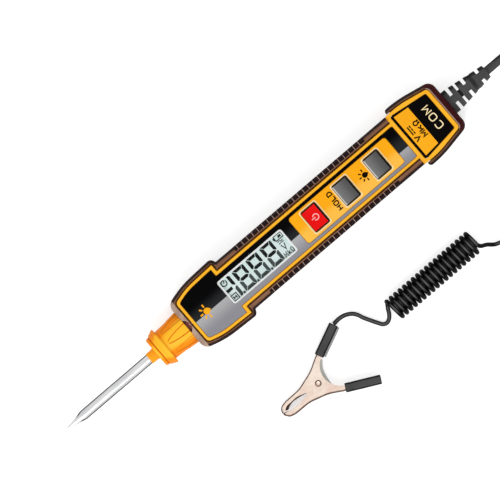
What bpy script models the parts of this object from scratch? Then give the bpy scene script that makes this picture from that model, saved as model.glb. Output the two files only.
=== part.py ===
"""Pen-shaped circuit tester with a steel probe, a display, three keys and a curly cord with a spring clip.

Units are metres. The pen lies on its back along X, with the probe towards -X and the keys facing +Z.
"""

from math import atan2, ceil, cos, hypot, pi, radians, sin, sqrt, tan

import bmesh
import bpy
from mathutils import Matrix, Vector

# Clearances
GAP = 0.0003
PANEL_GAP = 0.0002
SHARP_ANGLE = radians(32)

# Lengths along the pen. The housing's length follows from what its face carries.
PROBE_REACH = 0.0502
NOZZLE_LENGTH = 0.02205
HEAD_LENGTH = 0.0281
WINDOW_OVERLAP = 0.00493
WINDOW_LENGTH = 0.03744
FIELD_SPACE = 0.00546
KEY_FIRST = 0.01
KEY_PITCH = 0.0183
KEY_LAST = 0.0104
FIELD_TO_COLLAR = 0.00583
COLLAR_LENGTH = 0.0011
TAIL_CAP_LENGTH = 0.0245

# Cells, which set the width and height of the housing
CELL_RADIUS = 0.00515
CELL_LENGTH = 0.0435
CELL_NUB = 0.001
CELL_NUB_RADIUS = 0.0019
CELL_SLACK = 0.00024

# Plan of the housing: how far head and tail stand proud of the grip, and the radii of its corners
HEAD_STEP = 0.00261
TAIL_STEP_OUT = 0.0025
FRONT_CORNER_IN = 0.00101
FRONT_RADIUS = 0.0043
CHEEK_BACK = 0.0106
CHEEK_IN = 0.0007
CHEEK_RADIUS = 0.027
STEP_RADIUS = 0.0024
STEP_SLANT = 0.0007
TAIL_BEND = 0.01715
TAIL_BEND_RADIUS = 0.036
TAIL_CORNER_IN = 0.00079
TAIL_FRONT_RADIUS = 0.0014
TAIL_RADIUS = 0.004
SMALL_RADIUS = 0.0003
LAND_SOFTNESS = 0.8

# Section of the housing
BUMPER_STAND = 0.0003
BUMPER_PROUD = 0.0004
TOP_RADIUS = 0.0045
BACK_RADIUS = 0.003
RUBBER = 0.0013
WALL = 0.0014
LAND_DEPTH = 0.0033
BACK_LAND_ROOT = 0.0026
PANEL_DEPTH = 0.0008
PANEL_THICKNESS = 0.0005
DISPLAY_SPACE = 0.0048

# Borders: how far the edge of the raised land lies inside the rubber's outline
BORDER_FRONT = 0.00315
BORDER_FLANK = 0.0024
BORDER_STEP = 0.0018
BORDER_SIDE = 0.00362
BORDER_TAIL = 0.0033
BORDER_BACK = 0.002
BORDER_WIDTH = 0.00128
PANEL_RADIUS = 0.0013

# Ribs of the grip
RIB_PITCH = 0.00299
RIB_SLOT = 0.0006
RIB_DEPTH = 0.0007
RIB_REACH = 0.0024
RIB_FROM_HEAD = 0.0126
RIB_FROM_COLLAR = 0.0133
RIB_LOW = 0.006

# Nozzle and probe
PROBE_RADIUS = 0.00225
PROBE_TAPER = 0.01215
PROBE_POINT = 0.00025
PROBE_SHOULDER = 0.0029
NECK_WALL = 0.00053
NECK_LENGTH = 0.00396
GUARD_FRONT_RADIUS = 0.0072
GUARD_RADIUS = 0.0094
GUARD_LENGTH = 0.00482
GUARD_EDGE = 0.00063
GUARD_RING = 0.00167
CONE_FRONT_RADIUS = 0.00752
CONE_RADIUS = 0.00895
CONE_LEDGE = 0.43
ROOT_RADIUS = 0.006
ROOT_LENGTH = 0.0049
ROOT_COLLAR_RADIUS = 0.0069
FLUTES = 8
FLUTE_SHARE = 0.84
FLUTE_WIDTH = 0.0022
FLUTE_FLATNESS = 0.32
FERRULE_WALL = 0.00165
FERRULE_LENGTH = 0.0142
PROBE_SEAT = 0.005

# Torch lamp
LAMP_RADIUS = 0.00145
LAMP_DROP = 0.00255
LAMP_LENGTH = 0.0052
NOTCH_HALF = 0.0034
NOTCH_DEPTH = 0.00225
NOTCH_DROP = 0.0043
LEG_HALF_SPACE = 0.0009
LEG_THICKNESS = 0.0005

# Display
WINDOW_HALF = 0.0063
WINDOW_RADIUS = 0.0009
VIEW_RIM = 0.0006
GLASS_MARGIN = 0.0013
GLASS_THICKNESS = 0.0021
STRIP_WIDTH = 0.0014
STRIP_MARGIN = 0.0016

# Keys and the raised field round them
KEY_LENGTH = 0.0086
KEY_WIDTH = 0.0116
KEY_RADIUS = 0.0007
KEY_EDGE = 0.0004
KEY_STAND = 0.0009
KEY_FLANGE = 0.0008
KEY_FLANGE_THICKNESS = 0.0008
KEY_TRAVEL = 0.0006
FIELD_BORDER = 0.00145
FIELD_RADIUS = 0.00135
SWITCH_SIZE = 0.006
SWITCH_BODY = 0.0021
SWITCH_BUTTON = 0.0032

# Tail label
LABEL_START = 0.0004
LABEL_END = 0.00523
LABEL_IN = 0.0041
LABEL_TAPER = 0.00229
LABEL_RADIUS = 0.0008

# Circuit board and what it carries
BOARD_THICKNESS = 0.0012
BOARD_START = 0.0059
BOARD_NECK_SHORT = 0.0027
BOARD_EDGE = 0.00034
BOARD_HEAD_NARROWER = 0.0025
CHIP_SIZE = 0.01
CHIP_HEIGHT = 0.0014
CHIP_FROM_HEAD = 0.0279
BUZZER_RADIUS = 0.006
BUZZER_HEIGHT = 0.004
BUZZER_FROM_HEAD = 0.0079

# Battery bay
BAY_TAIL_SPACE = 0.0047
BAY_WALL = 0.0012
CONTACT_THICKNESS = 0.0004
CONTACT_WIDTH = 0.008
CONTACT_HEIGHT = 0.0075
SPRING_LENGTH = 0.0035
SPRING_RADIUS = 0.0028
SPRING_WIRE = 0.0003
SPRING_TURNS = 3
DOOR_THICKNESS = 0.0016
DOOR_EDGE = 0.00015
DOOR_TAIL = 0.0073
DOOR_TONGUE = 0.0018
DOOR_TONGUE_HALF = 0.004
DOOR_SCREW_BACK = 0.0039

# Screws
SCREW_RADIUS = 0.00095
SCREW_HEAD_RADIUS = 0.0019
SCREW_HEAD = 0.0008
SCREW_SINK = 0.0014
CASE_SCREW_BITE = 0.0046
DOOR_SCREW_TOP = 0.0064
BOSS_RADIUS = 0.0025
SCREW_FROM_STEP = 0.0107
SCREW_FROM_TAIL = 0.0127
SCREW_SIDE = 0.0002

# Strain relief
RELIEF_NECK_RADIUS = 0.003
RELIEF_FLANGE_RADIUS = 0.0045
RELIEF_FLANGE = 0.0014
RELIEF_BASE_RADIUS = 0.00585
RELIEF_END_RADIUS = 0.0033
RELIEF_LENGTH = 0.02223
RELIEF_TAIL_RADIUS = 0.00195
RELIEF_TAIL = 0.0119
RELIEF_CORE = 0.00185
RELIEF_SIDE_SLOTS = ((0.00243, 0.0041), (0.00639, 0.00765), (0.01026, 0.01188), (0.01791, 0.01953))
RELIEF_FACE_SLOTS = ((0.0045, 0.0059), (0.01359, 0.0154))
INNER_WIRE_RADIUS = 0.0006

# Cord. The routes are chosen by hand. Their places are X, Y and the height of the cord's underside.
CORD_RADIUS = 0.001
COIL_RADIUS = 0.00595
COIL_START = 0.03305
COIL_LENGTH = 0.04925
COIL_Y = -0.0546
LEAD_FALL = (
    (0.0044, -0.0002, 0.0099),
    (0.0109, -0.0009, 0.0078),
    (0.0179, -0.0032, 0.0038),
    (0.0249, -0.0078, 0.0010),
    (0.0311, -0.0150, 0.0001),
    (0.0351, -0.0246, 0.0),
    (0.0357, -0.0350, 0.0),
    (0.0323, -0.0460, 0.0),
)
LEAD_RETURN = (
    (0.0907, -0.0010, 0.0),
    (0.0799, -0.0088, 0.0),
    (0.0667, -0.0144, 0.0),
    (0.0522, -0.0176, 0.0),
    (0.0372, -0.0176, 0.0),
    (0.0237, -0.0149, 0.0),
    (0.0137, -0.0111, 0.0),
    (0.0079, -0.0083, 0.0002),
    (0.0053, -0.0073, 0.0012),
    (0.0027, -0.0052, 0.0038),
    (0.0009, -0.0026, 0.0064),
)
TAIL_RISE = (
    (0.0040, 0.0002, 0.0030),
    (0.0076, -0.0008, 0.0019),
    (0.0103, -0.0030, 0.0008),
)
TAIL_RUN = (
    (-0.0112, 0.0060, 0.0001),
    (-0.0094, 0.0028, 0.0),
    (-0.0078, 0.0001, 0.0),
    (-0.0063, -0.0020, 0.0),
    (-0.0047, -0.0026, 0.0),
    (-0.0031, -0.0021, 0.0),
    (-0.0013, -0.0003, 0.0),
)

# Clip: places are measured from its rivet
RIVET_X = -0.01285
RIVET_Y = -0.05778
CLIP_SHEET = 0.0006
FIXED_DEPTH = 0.0072
SLEEVE_WALL = 0.0005
SLEEVE_SLACK = 0.00035
SLEEVE_HEADROOM = 0.0002
SLEEVE_RADIUS = 0.0012
FIXED_ANGLE = radians(24.4)
MOVING_ANGLE = radians(-26.8)
FIXED_SLEEVE_LENGTH = 0.0156
MOVING_SLEEVE_LENGTH = 0.0166
FIXED_SLEEVE_START = (0.0083, 0.0092)
MOVING_SLEEVE_START = (0.00795, -0.0095)
HANDLE_HALF = 0.0013
HANDLE_SHORT = 0.0012
HANDLE_LEAD = 0.0016
RIVET_RADIUS = 0.001
RIVET_HEAD_RADIUS = 0.0015
RIVET_HEAD = 0.0004
RIVET_DIMPLE_RADIUS = 0.00095
RIVET_GAP = 0.00015
CLIP_SPRING_RADIUS = 0.0021
CLIP_SPRING_WIRE = 0.00035
CLIP_SPRING_TURNS = 3
CLIP_SPRING_PITCH = 0.00085

# Places worked out from the sizes above
SHELL_INSET = RUBBER + GAP
CAVITY_INSET = SHELL_INSET + WALL
WINDOW_START = HEAD_LENGTH - WINDOW_OVERLAP
FIELD_START = WINDOW_START + WINDOW_LENGTH + FIELD_SPACE
FIELD_LENGTH = KEY_FIRST + 2 * KEY_PITCH + KEY_LAST
GRIP_LENGTH = FIELD_START + FIELD_LENGTH + FIELD_TO_COLLAR
HOUSING_LENGTH = GRIP_LENGTH + COLLAR_LENGTH + 2 * GAP + TAIL_CAP_LENGTH
OVERALL = PROBE_REACH + NOZZLE_LENGTH + HOUSING_LENGTH
TAIL = OVERALL / 2
FRONT = TAIL - HOUSING_LENGTH
NECK = FRONT - NOZZLE_LENGTH
TIP = NECK - PROBE_REACH
STEP = FRONT + HEAD_LENGTH
GRIP_END = FRONT + GRIP_LENGTH
TAIL_STEP = TAIL - TAIL_CAP_LENGTH
BAY_HALF = 2 * CELL_RADIUS + GAP + CELL_SLACK
GRIP_HALF = BAY_HALF + CAVITY_INSET
HEAD_HALF = GRIP_HALF + HEAD_STEP
TAIL_HALF = GRIP_HALF + TAIL_STEP_OUT
FRONT_CORNER = GRIP_HALF - FRONT_CORNER_IN
TAIL_CORNER = GRIP_HALF - TAIL_CORNER_IN
FLOOR = BUMPER_STAND + CAVITY_INSET
CELL_HEIGHT = DOOR_THICKNESS + GAP + CELL_RADIUS
BAY_WALL_TOP = CELL_HEIGHT + CELL_RADIUS + 2 * GAP
BOARD_BOTTOM = BAY_WALL_TOP + 2 * GAP
BOARD_TOP = BOARD_BOTTOM + BOARD_THICKNESS
CEILING = BOARD_TOP + DISPLAY_SPACE
BUMPER_TOP = CEILING + CAVITY_INSET
AXIS_HEIGHT = BUMPER_TOP / 2
LAND_TOP = BUMPER_TOP - BUMPER_PROUD
LAND_ROOT = LAND_TOP - LAND_DEPTH
SPLIT_TOP = AXIS_HEIGHT + GAP / 2
SPLIT_LOW = AXIS_HEIGHT - GAP / 2
PANEL_FLOOR = LAND_TOP - PANEL_DEPTH
PANEL_LOW = PANEL_FLOOR + PANEL_GAP
FIELD_HALF = KEY_WIDTH / 2 + FIELD_BORDER
LAMP_HEIGHT = BUMPER_TOP - LAMP_DROP
BAY_LENGTH = SPRING_LENGTH + CELL_LENGTH + CELL_NUB + 2 * CONTACT_THICKNESS + 5 * GAP
BAY_END = TAIL_STEP - BAY_TAIL_SPACE
BAY_X = BAY_END - BAY_LENGTH
BOARD_X = FRONT + BOARD_START
BOARD_END = BAY_END + BAY_WALL
BOARD_HALF = BAY_HALF - BOARD_EDGE
DOOR_HALF = BAY_HALF - GAP - DOOR_EDGE
DOOR_START = BAY_X + GAP
DOOR_END = BAY_END + DOOR_TAIL
DOOR_SCREW_X = BAY_END + DOOR_SCREW_BACK
CASE_SCREW_TOP = AXIS_HEIGHT + CASE_SCREW_BITE
SLEEVE_DEPTH = FIXED_DEPTH + 2 * (SLEEVE_WALL + SLEEVE_HEADROOM)
SLEEVE_WIDTH = 2 * (HANDLE_HALF + SLEEVE_SLACK + SLEEVE_WALL)
CLIP_HEIGHT = SLEEVE_DEPTH / 2
FAR = 0.004
MIN_RADIUS = 0.0002


def clear_scene():
    for obj in list(bpy.data.objects):
        bpy.data.objects.remove(obj, do_unlink=True)


def linear(channel):
    return channel / 12.92 if channel <= 0.04045 else ((channel + 0.055) / 1.055) ** 2.4


def finish(name, red, green, blue, roughness, metallic=0.0):
    """A Principled material from 8-bit screen colours."""
    material = bpy.data.materials.new(name)
    material.use_nodes = True
    shader = material.node_tree.nodes["Principled BSDF"]
    colour = [linear(value / 255) for value in (red, green, blue)]
    shader.inputs["Base Color"].default_value = (*colour, 1.0)
    shader.inputs["Roughness"].default_value = roughness
    shader.inputs["Metallic"].default_value = metallic
    return material


def piece(name, bm, material, parent=None, location=(0, 0, 0)):
    mesh = bpy.data.meshes.new(name)
    bmesh.ops.recalc_face_normals(bm, faces=bm.faces)
    bm.to_mesh(mesh)
    bm.free()
    mesh.materials.append(material)
    mesh.shade_smooth()
    mesh.set_sharp_from_angle(angle=SHARP_ANGLE)
    obj = bpy.data.objects.new(name, mesh)
    obj.location = location
    obj.parent = parent
    bpy.context.scene.collection.objects.link(obj)
    return obj


def shape(target, operation, bm, name):
    """Cuts or joins a hidden helper solid with a Boolean modifier."""
    helper = piece(name, bm, target.data.materials[0], target.parent, target.location)
    helper.hide_render = True
    helper.display_type = "WIRE"
    modifier = target.modifiers.new(name, "BOOLEAN")
    modifier.operation = operation
    modifier.solver = "EXACT"
    modifier.object = helper
    return helper


def cut(target, bm, name):
    return shape(target, "DIFFERENCE", bm, name)


def join(target, bm, name):
    return shape(target, "UNION", bm, name)


def rounded(corners):
    """Outline through corners given as x, y, radius and steps."""
    points = []
    for index, (x, y, radius, steps) in enumerate(corners):
        corner = Vector((x, y))
        if steps == 0:
            points.append(corner)
            continue
        back = (Vector(corners[index - 1][:2]) - corner).normalized()
        ahead = (Vector(corners[(index + 1) % len(corners)][:2]) - corner).normalized()
        half = back.angle(ahead) / 2
        centre = corner + (back + ahead).normalized() * (radius / sin(half))
        start = corner + back * (radius / tan(half)) - centre
        stop = corner + ahead * (radius / tan(half)) - centre
        first = atan2(start.y, start.x)
        sweep = atan2(start.x * stop.y - start.y * stop.x, start.dot(stop))
        for step in range(steps + 1):
            angle = first + sweep * step / steps
            points.append(centre + Vector((cos(angle), sin(angle))) * radius)
    return points


def offset(corners, margins):
    """Moves each edge of a counter-clockwise outline inwards by its own margin.

    Edge i runs from corner i to the next one.
    """
    count = len(corners)
    normals = []
    for index in range(count):
        here = Vector(corners[index][:2])
        there = Vector(corners[(index + 1) % count][:2])
        along = (there - here).normalized()
        normals.append(Vector((-along.y, along.x)))
    moved = []
    for index, (x, y, radius, steps) in enumerate(corners):
        before, after = normals[index - 1], normals[index]
        turn = before.x * after.y - before.y * after.x
        near, far = margins[index - 1], margins[index]
        if abs(turn) < 1e-4:
            shift = after * far
        else:
            shift = Vector((near * after.y - far * before.y, far * before.x - near * after.x)) / turn
        size = max(radius - (near + far) / 2, MIN_RADIUS) if turn > 0 else radius
        moved.append((x + shift.x, y + shift.y, size, steps))
    return moved


def mirrored(half, margins):
    """Closed outline from the corners of its +Y half; margins start at the front edge and end at the back edge."""
    low = [(x, -y, radius, steps) for x, y, radius, steps in half]
    edges = [*margins[1:-1], margins[-1], *reversed(margins[1:-1]), margins[0]]
    return rounded(offset(low + half[::-1], edges))


def head_corners():
    return [
        (FRONT, FRONT_CORNER, FRONT_RADIUS, 4),
        (FRONT + CHEEK_BACK, HEAD_HALF - CHEEK_IN, CHEEK_RADIUS, 2),
        (STEP, HEAD_HALF, STEP_RADIUS, 3),
        (STEP + STEP_SLANT, GRIP_HALF, STEP_SLANT, 1),
    ]


def tail_corners():
    return [
        (TAIL_STEP, TAIL_HALF, TAIL_FRONT_RADIUS, 2),
        (TAIL - TAIL_BEND, TAIL_HALF, TAIL_BEND_RADIUS, 2),
        (TAIL, TAIL_CORNER, TAIL_RADIUS, 4),
    ]


def housing_plan(inset):
    half = [*head_corners(), (TAIL_STEP, GRIP_HALF, SMALL_RADIUS, 1), *tail_corners()]
    return mirrored(half, [inset] * 9)


def grip_plan(inset):
    half = [*head_corners(), (GRIP_END, GRIP_HALF, SMALL_RADIUS, 1)]
    return mirrored(half, [inset] * 5 + [0])


def tail_plan(inset):
    return mirrored(tail_corners(), [min(inset, RUBBER / 2)] + [inset] * 3)


def land_corners():
    """Corners of the raised lands, a little tighter than those of the housing."""
    half = [*head_corners(), (TAIL_STEP, GRIP_HALF, SMALL_RADIUS, 1), *tail_corners()]
    return [(x, y, radius * LAND_SOFTNESS, max(1, steps - 1)) for x, y, radius, steps in half]


def back_plan(gap):
    """Outer edge of the flat back, widened by a gap."""
    margins = [BORDER_BACK] * 5 + [BORDER_BACK - WALL / 7] + [BORDER_BACK] * 3
    return mirrored(land_corners(), [margin - gap for margin in margins])


def land_plan(gap):
    """Outer edge of the raised orange border, widened by a gap."""
    step_to_collar = GAP + COLLAR_LENGTH / 2
    margins = [BORDER_FRONT, BORDER_FLANK, BORDER_FLANK, BORDER_STEP, BORDER_SIDE]
    margins += [-step_to_collar, BORDER_FLANK, BORDER_FLANK, BORDER_TAIL]
    return mirrored(land_corners(), [margin - gap for margin in margins])


def panel_plan(gap):
    """Field of the face overlay, inside the border."""
    half = [*head_corners(), (GRIP_END, GRIP_HALF, BORDER_SIDE + BORDER_WIDTH + PANEL_RADIUS, 3)]
    margins = [BORDER_FRONT, BORDER_FLANK, BORDER_FLANK, BORDER_STEP, BORDER_SIDE]
    margins = [margin + BORDER_WIDTH + gap for margin in margins]
    return mirrored(half, [*margins, gap])


def label_plan(gap):
    wide = TAIL_HALF - LABEL_IN
    half = [
        (TAIL_STEP + LABEL_START, wide, LABEL_RADIUS, 2),
        (TAIL - LABEL_END, wide - LABEL_TAPER, LABEL_RADIUS, 2),
    ]
    return mirrored(half, [gap] * 3)


def rectangle(x_low, x_high, y_low, y_high, radius=0.0, steps=0):
    return rounded([
        (x_low, y_low, radius, steps),
        (x_high, y_low, radius, steps),
        (x_high, y_high, radius, steps),
        (x_low, y_high, radius, steps),
    ])


def add_stack(bm, levels, place=None):
    """Solid through outlines of one point count, each at its own height."""
    rings = []
    for height, outline in levels:
        rings.append([bm.verts.new((point.x, point.y, height)) for point in outline])
    for low, high in zip(rings, rings[1:]):
        for index in range(len(low)):
            after = (index + 1) % len(low)
            bm.faces.new((low[index], low[after], high[after], high[index]))
    bm.faces.new(rings[0][::-1])
    bm.faces.new(rings[-1])
    if place is not None:
        bmesh.ops.transform(bm, matrix=place, verts=[vert for ring in rings for vert in ring])


def add_prism(bm, outline, low, high, place=None):
    add_stack(bm, [(low, outline), (high, outline)], place)


def add_box(bm, x_low, x_high, y_low, y_high, z_low, z_high):
    add_prism(bm, rectangle(x_low, x_high, y_low, y_high), z_low, z_high)


def add_turned(bm, profile, segments, place, ring=False):
    """Turns a profile of heights and radii round Z, then places it. A ring closes on itself."""
    rings = []
    for height, radius in profile:
        if radius == 0:
            rings.append([bm.verts.new((0, 0, height))] * segments)
            continue
        angles = [2 * pi * (index + 0.5) / segments for index in range(segments)]
        rings.append([bm.verts.new((radius * cos(a), radius * sin(a), height)) for a in angles])
    pairs = list(zip(rings, rings[1:]))
    if ring:
        pairs.append((rings[-1], rings[0]))
    for low, high in pairs:
        for index in range(segments):
            after = (index + 1) % segments
            corners = []
            for vert in (low[index], low[after], high[after], high[index]):
                if vert not in corners:
                    corners.append(vert)
            bm.faces.new(corners)
    verts = {vert for row in rings for vert in row}
    bmesh.ops.transform(bm, matrix=place, verts=list(verts))


def upright(x, y, z=0.0):
    return Matrix.Translation((x, y, z))


def along_x(x, y, z):
    """Turns local +Z to world +X."""
    return Matrix.Translation((x, y, z)) @ Matrix.Rotation(pi / 2, 4, "Y")


def add_rod(bm, low, high, radius, segments, place):
    add_turned(bm, [(low, 0), (low, radius), (high, radius), (high, 0)], segments, place)


def lower_levels(plan, inset, top, steps=2):
    """Levels of a body from its rounded underside up to a height."""
    radius = max(BACK_RADIUS - inset, MIN_RADIUS)
    base = BUMPER_STAND + inset
    levels = []
    for step in range(steps + 1):
        angle = pi / 2 * (1 - step / steps)
        levels.append((base + radius * (1 - sin(angle)), plan(inset + radius * (1 - cos(angle)))))
    if top is not None:
        levels.append((top, plan(inset)))
    return levels


def upper_levels(plan, inset, low, steps=3):
    """Levels of a body from a height up to its rounded top."""
    radius = max(TOP_RADIUS - inset, MIN_RADIUS)
    crest = BUMPER_TOP - inset
    levels = []
    if low is not None:
        levels.append((low, plan(inset)))
    for step in range(steps + 1):
        angle = pi / 2 * step / steps
        levels.append((crest - radius * (1 - sin(angle)), plan(inset + radius * (1 - cos(angle)))))
    return levels


def add_envelope(bm, plan, inset):
    add_stack(bm, lower_levels(plan, inset, None) + upper_levels(plan, inset, None))


def collar_section(low, high):
    """Section of the orange collar between grip and tail bumper, as Y and Z."""
    half = GRIP_HALF
    if high > low and high > AXIS_HEIGHT:
        corners = [(-half, low, 0, 0), (half, low, 0, 0), (half, high, TOP_RADIUS, 3), (-half, high, TOP_RADIUS, 3)]
    else:
        corners = [(-half, high, BACK_RADIUS, 2), (half, high, BACK_RADIUS, 2), (half, low, 0, 0), (-half, low, 0, 0)]
    return rounded(corners)


def add_collar(bm, low, high):
    """Collar from the split at height low to its outer face at height high."""
    start = TAIL_STEP - GAP - COLLAR_LENGTH
    turn = Matrix(((0, 0, 1, 0), (1, 0, 0, 0), (0, 1, 0, 0), (0, 0, 0, 1)))
    add_prism(bm, collar_section(low, high), start, start + COLLAR_LENGTH, turn)


def case_screw_places():
    places = []
    for side in (-1, 1):
        places.append((STEP - SCREW_FROM_STEP, side * (BAY_HALF + SCREW_SIDE)))
        places.append((TAIL - SCREW_FROM_TAIL, side * (BAY_HALF - 3 * SCREW_SIDE)))
    return places


def key_places():
    first = FRONT + FIELD_START + KEY_FIRST
    return [first + index * KEY_PITCH for index in range(3)]


def end_holes(gap):
    """Cutter for the nozzle's root and the strain relief's neck."""
    bm = bmesh.new()
    add_rod(bm, FRONT - FAR, FRONT + CAVITY_INSET + FAR / 2, ROOT_RADIUS + gap, 24, along_x(0, 0, AXIS_HEIGHT))
    add_rod(bm, TAIL - CAVITY_INSET - FAR / 2, TAIL + FAR, RELIEF_NECK_RADIUS + gap, 16, along_x(0, 0, AXIS_HEIGHT))
    return bm


def lamp_hole():
    bm = bmesh.new()
    place = along_x(0, 0, LAMP_HEIGHT)
    add_rod(bm, FRONT - FAR, FRONT + CAVITY_INSET + FAR, LAMP_RADIUS + PANEL_GAP, 12, place)
    return bm


def make_front_shell(orange):
    bm = bmesh.new()
    add_stack(bm, upper_levels(housing_plan, SHELL_INSET, SPLIT_TOP))
    shell = piece("front_shell", bm, orange)
    bm = bmesh.new()
    add_prism(bm, land_plan(0), LAND_ROOT, LAND_TOP)
    join(shell, bm, "front_land")
    bm = bmesh.new()
    add_collar(bm, SPLIT_TOP + GAP / 2, BUMPER_TOP)
    join(shell, bm, "front_collar")
    bm = bmesh.new()
    add_stack(bm, upper_levels(housing_plan, CAVITY_INSET, SPLIT_TOP - FAR / 4, 1))
    cut(shell, bm, "front_cavity")
    bm = bmesh.new()
    for x, y in case_screw_places():
        add_rod(bm, SPLIT_TOP + GAP / 3, CEILING + WALL / 2, BOSS_RADIUS, 12, upright(x, y))
    join(shell, bm, "front_bosses")
    bm = bmesh.new()
    add_prism(bm, panel_plan(0), PANEL_FLOOR, LAND_TOP + FAR)
    add_prism(bm, label_plan(0), PANEL_FLOOR, LAND_TOP + FAR)
    for x, y in case_screw_places():
        add_rod(bm, SPLIT_TOP - FAR, CASE_SCREW_TOP + GAP, SCREW_RADIUS + GAP, 8, upright(x, y))
    cut(shell, bm, "panel_recesses")
    bm = bmesh.new()
    field = FRONT + FIELD_START
    add_prism(
        bm, rectangle(field, field + FIELD_LENGTH, -FIELD_HALF, FIELD_HALF, FIELD_RADIUS, 3),
        PANEL_FLOOR - PANEL_DEPTH / 2, LAND_TOP,
    )
    join(shell, bm, "key_field")
    bm = bmesh.new()
    window = FRONT + WINDOW_START + VIEW_RIM
    reach = WINDOW_HALF - VIEW_RIM
    add_box(bm, window, window + WINDOW_LENGTH - 2 * VIEW_RIM, -reach, reach, CEILING - FAR, LAND_TOP + FAR)
    for x in key_places():
        half_length, half_width = KEY_LENGTH / 2 + GAP, KEY_WIDTH / 2 + GAP
        outline = rectangle(x - half_length, x + half_length, -half_width, half_width, KEY_RADIUS + GAP, 2)
        add_prism(bm, outline, CEILING - FAR, LAND_TOP + FAR)
    cut(shell, bm, "face_openings")
    cut(shell, end_holes(GAP), "front_end_holes")
    cut(shell, lamp_hole(), "shell_lamp_hole")
    return shell


def make_rear_shell(orange):
    bm = bmesh.new()
    add_stack(bm, lower_levels(housing_plan, SHELL_INSET, SPLIT_LOW))
    shell = piece("rear_shell", bm, orange)
    bm = bmesh.new()
    add_prism(bm, back_plan(0), 0.0, BACK_LAND_ROOT)
    join(shell, bm, "back_land")
    bm = bmesh.new()
    add_collar(bm, SPLIT_LOW - GAP / 2, BUMPER_STAND)
    join(shell, bm, "rear_collar")
    bm = bmesh.new()
    add_stack(bm, lower_levels(housing_plan, CAVITY_INSET, SPLIT_LOW + FAR / 4, 1))
    cut(shell, bm, "rear_cavity")
    bm = bmesh.new()
    for x, y in case_screw_places():
        add_rod(bm, FLOOR - WALL / 2, SPLIT_LOW - GAP / 3, BOSS_RADIUS, 12, upright(x, y))
    add_rod(bm, FLOOR - WALL / 2, DOOR_SCREW_TOP + WALL, BOSS_RADIUS, 12, upright(DOOR_SCREW_X, 0))
    join(shell, bm, "rear_bosses")
    bm = bmesh.new()
    wall_half = BAY_HALF
    for x in (BAY_X - BAY_WALL, BAY_END):
        narrow = wall_half - GAP
        outline = rounded([
            (-wall_half - WALL / 2, FLOOR - WALL / 2, 0, 0),
            (wall_half + WALL / 2, FLOOR - WALL / 2, 0, 0),
            (wall_half + WALL / 2, SPLIT_LOW - GAP, 0, 0),
            (narrow, SPLIT_LOW - GAP, 0, 0),
            (narrow, BAY_WALL_TOP, 0, 0),
            (-narrow, BAY_WALL_TOP, 0, 0),
            (-narrow, SPLIT_LOW - GAP, 0, 0),
            (-wall_half - WALL / 2, SPLIT_LOW - GAP, 0, 0),
        ])
        turn = Matrix(((0, 0, 1, 0), (1, 0, 0, 0), (0, 1, 0, 0), (0, 0, 0, 1)))
        add_prism(bm, outline, x, x + BAY_WALL, turn)
    join(shell, bm, "bay_walls")
    bm = bmesh.new()
    door_gap = DOOR_HALF + GAP
    add_box(bm, BAY_X, BAY_END, -door_gap, door_gap, -FAR, FLOOR + FAR / 2)
    cut(shell, bm, "bay_opening")
    bm = bmesh.new()
    add_box(bm, BAY_END - FAR, DOOR_END + GAP, -door_gap, door_gap, -FAR, DOOR_THICKNESS + GAP)
    tongue = DOOR_TONGUE_HALF + GAP
    low, high = DOOR_THICKNESS - 1.5 * GAP, DOOR_THICKNESS + 2 * GAP + CONTACT_THICKNESS
    add_box(bm, BAY_X - DOOR_TONGUE - GAP, BAY_X + FAR / 4, -tongue, tongue, low, high)
    for x, y in case_screw_places():
        top = SCREW_SINK + SCREW_HEAD + GAP
        radius, head = SCREW_RADIUS + GAP, SCREW_HEAD_RADIUS + GAP
        profile = [(-FAR, 0), (-FAR, head), (top, head), (top, radius), (SPLIT_LOW + FAR, radius), (SPLIT_LOW + FAR, 0)]
        add_turned(bm, profile, 10, upright(x, y))
    cut(shell, bm, "back_openings")
    bm = bmesh.new()
    add_rod(bm, FLOOR - 2 * WALL, DOOR_SCREW_TOP + GAP, SCREW_RADIUS + GAP, 8, upright(DOOR_SCREW_X, 0))
    cut(shell, bm, "door_screw_hole")
    cut(shell, end_holes(GAP), "rear_end_holes")
    return shell


def rubber_cutters(target):
    """Makes room in the rubber for the shells, and opens it over the front and back lands."""
    bm = bmesh.new()
    add_envelope(bm, housing_plan, RUBBER)
    cut(target, bm, target.name + "_inside")
    bm = bmesh.new()
    add_prism(bm, land_plan(GAP), LAND_ROOT - GAP, BUMPER_TOP + FAR)
    add_prism(bm, back_plan(GAP), -FAR, BACK_LAND_ROOT + GAP)
    cut(target, bm, target.name + "_windows")


def make_grip(rubber):
    bm = bmesh.new()
    add_envelope(bm, grip_plan, 0)
    grip = piece("grip", bm, rubber)
    rubber_cutters(grip)
    cut(grip, end_holes(GAP), "grip_end_holes")
    cut(grip, lamp_hole(), "grip_lamp_hole")
    bm = bmesh.new()
    radius = (NOTCH_HALF ** 2 + NOTCH_DEPTH ** 2) / (2 * NOTCH_DEPTH)
    low = BUMPER_TOP - NOTCH_DROP
    add_rod(bm, low, BUMPER_TOP + FAR, radius, 24, upright(FRONT + NOTCH_DEPTH - radius, 0))
    cut(grip, bm, "lamp_notch")
    bm = bmesh.new()
    first = STEP + RIB_FROM_HEAD
    for index in range(int((GRIP_END - RIB_FROM_COLLAR - first) / RIB_PITCH) + 1):
        x = first + index * RIB_PITCH
        for side in (-1, 1):
            inner, outer = side * (GRIP_HALF - RIB_REACH), side * (GRIP_HALF + FAR)
            y_low, y_high = min(inner, outer), max(inner, outer)
            add_box(bm, x - RIB_SLOT / 2, x + RIB_SLOT / 2, y_low, y_high, RIB_LOW, BUMPER_TOP + FAR)
    slots = cut(grip, bm, "rib_slots")
    bm = bmesh.new()
    add_envelope(bm, grip_plan, RIB_DEPTH)
    cut(slots, bm, "rib_floor")
    return grip


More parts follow.
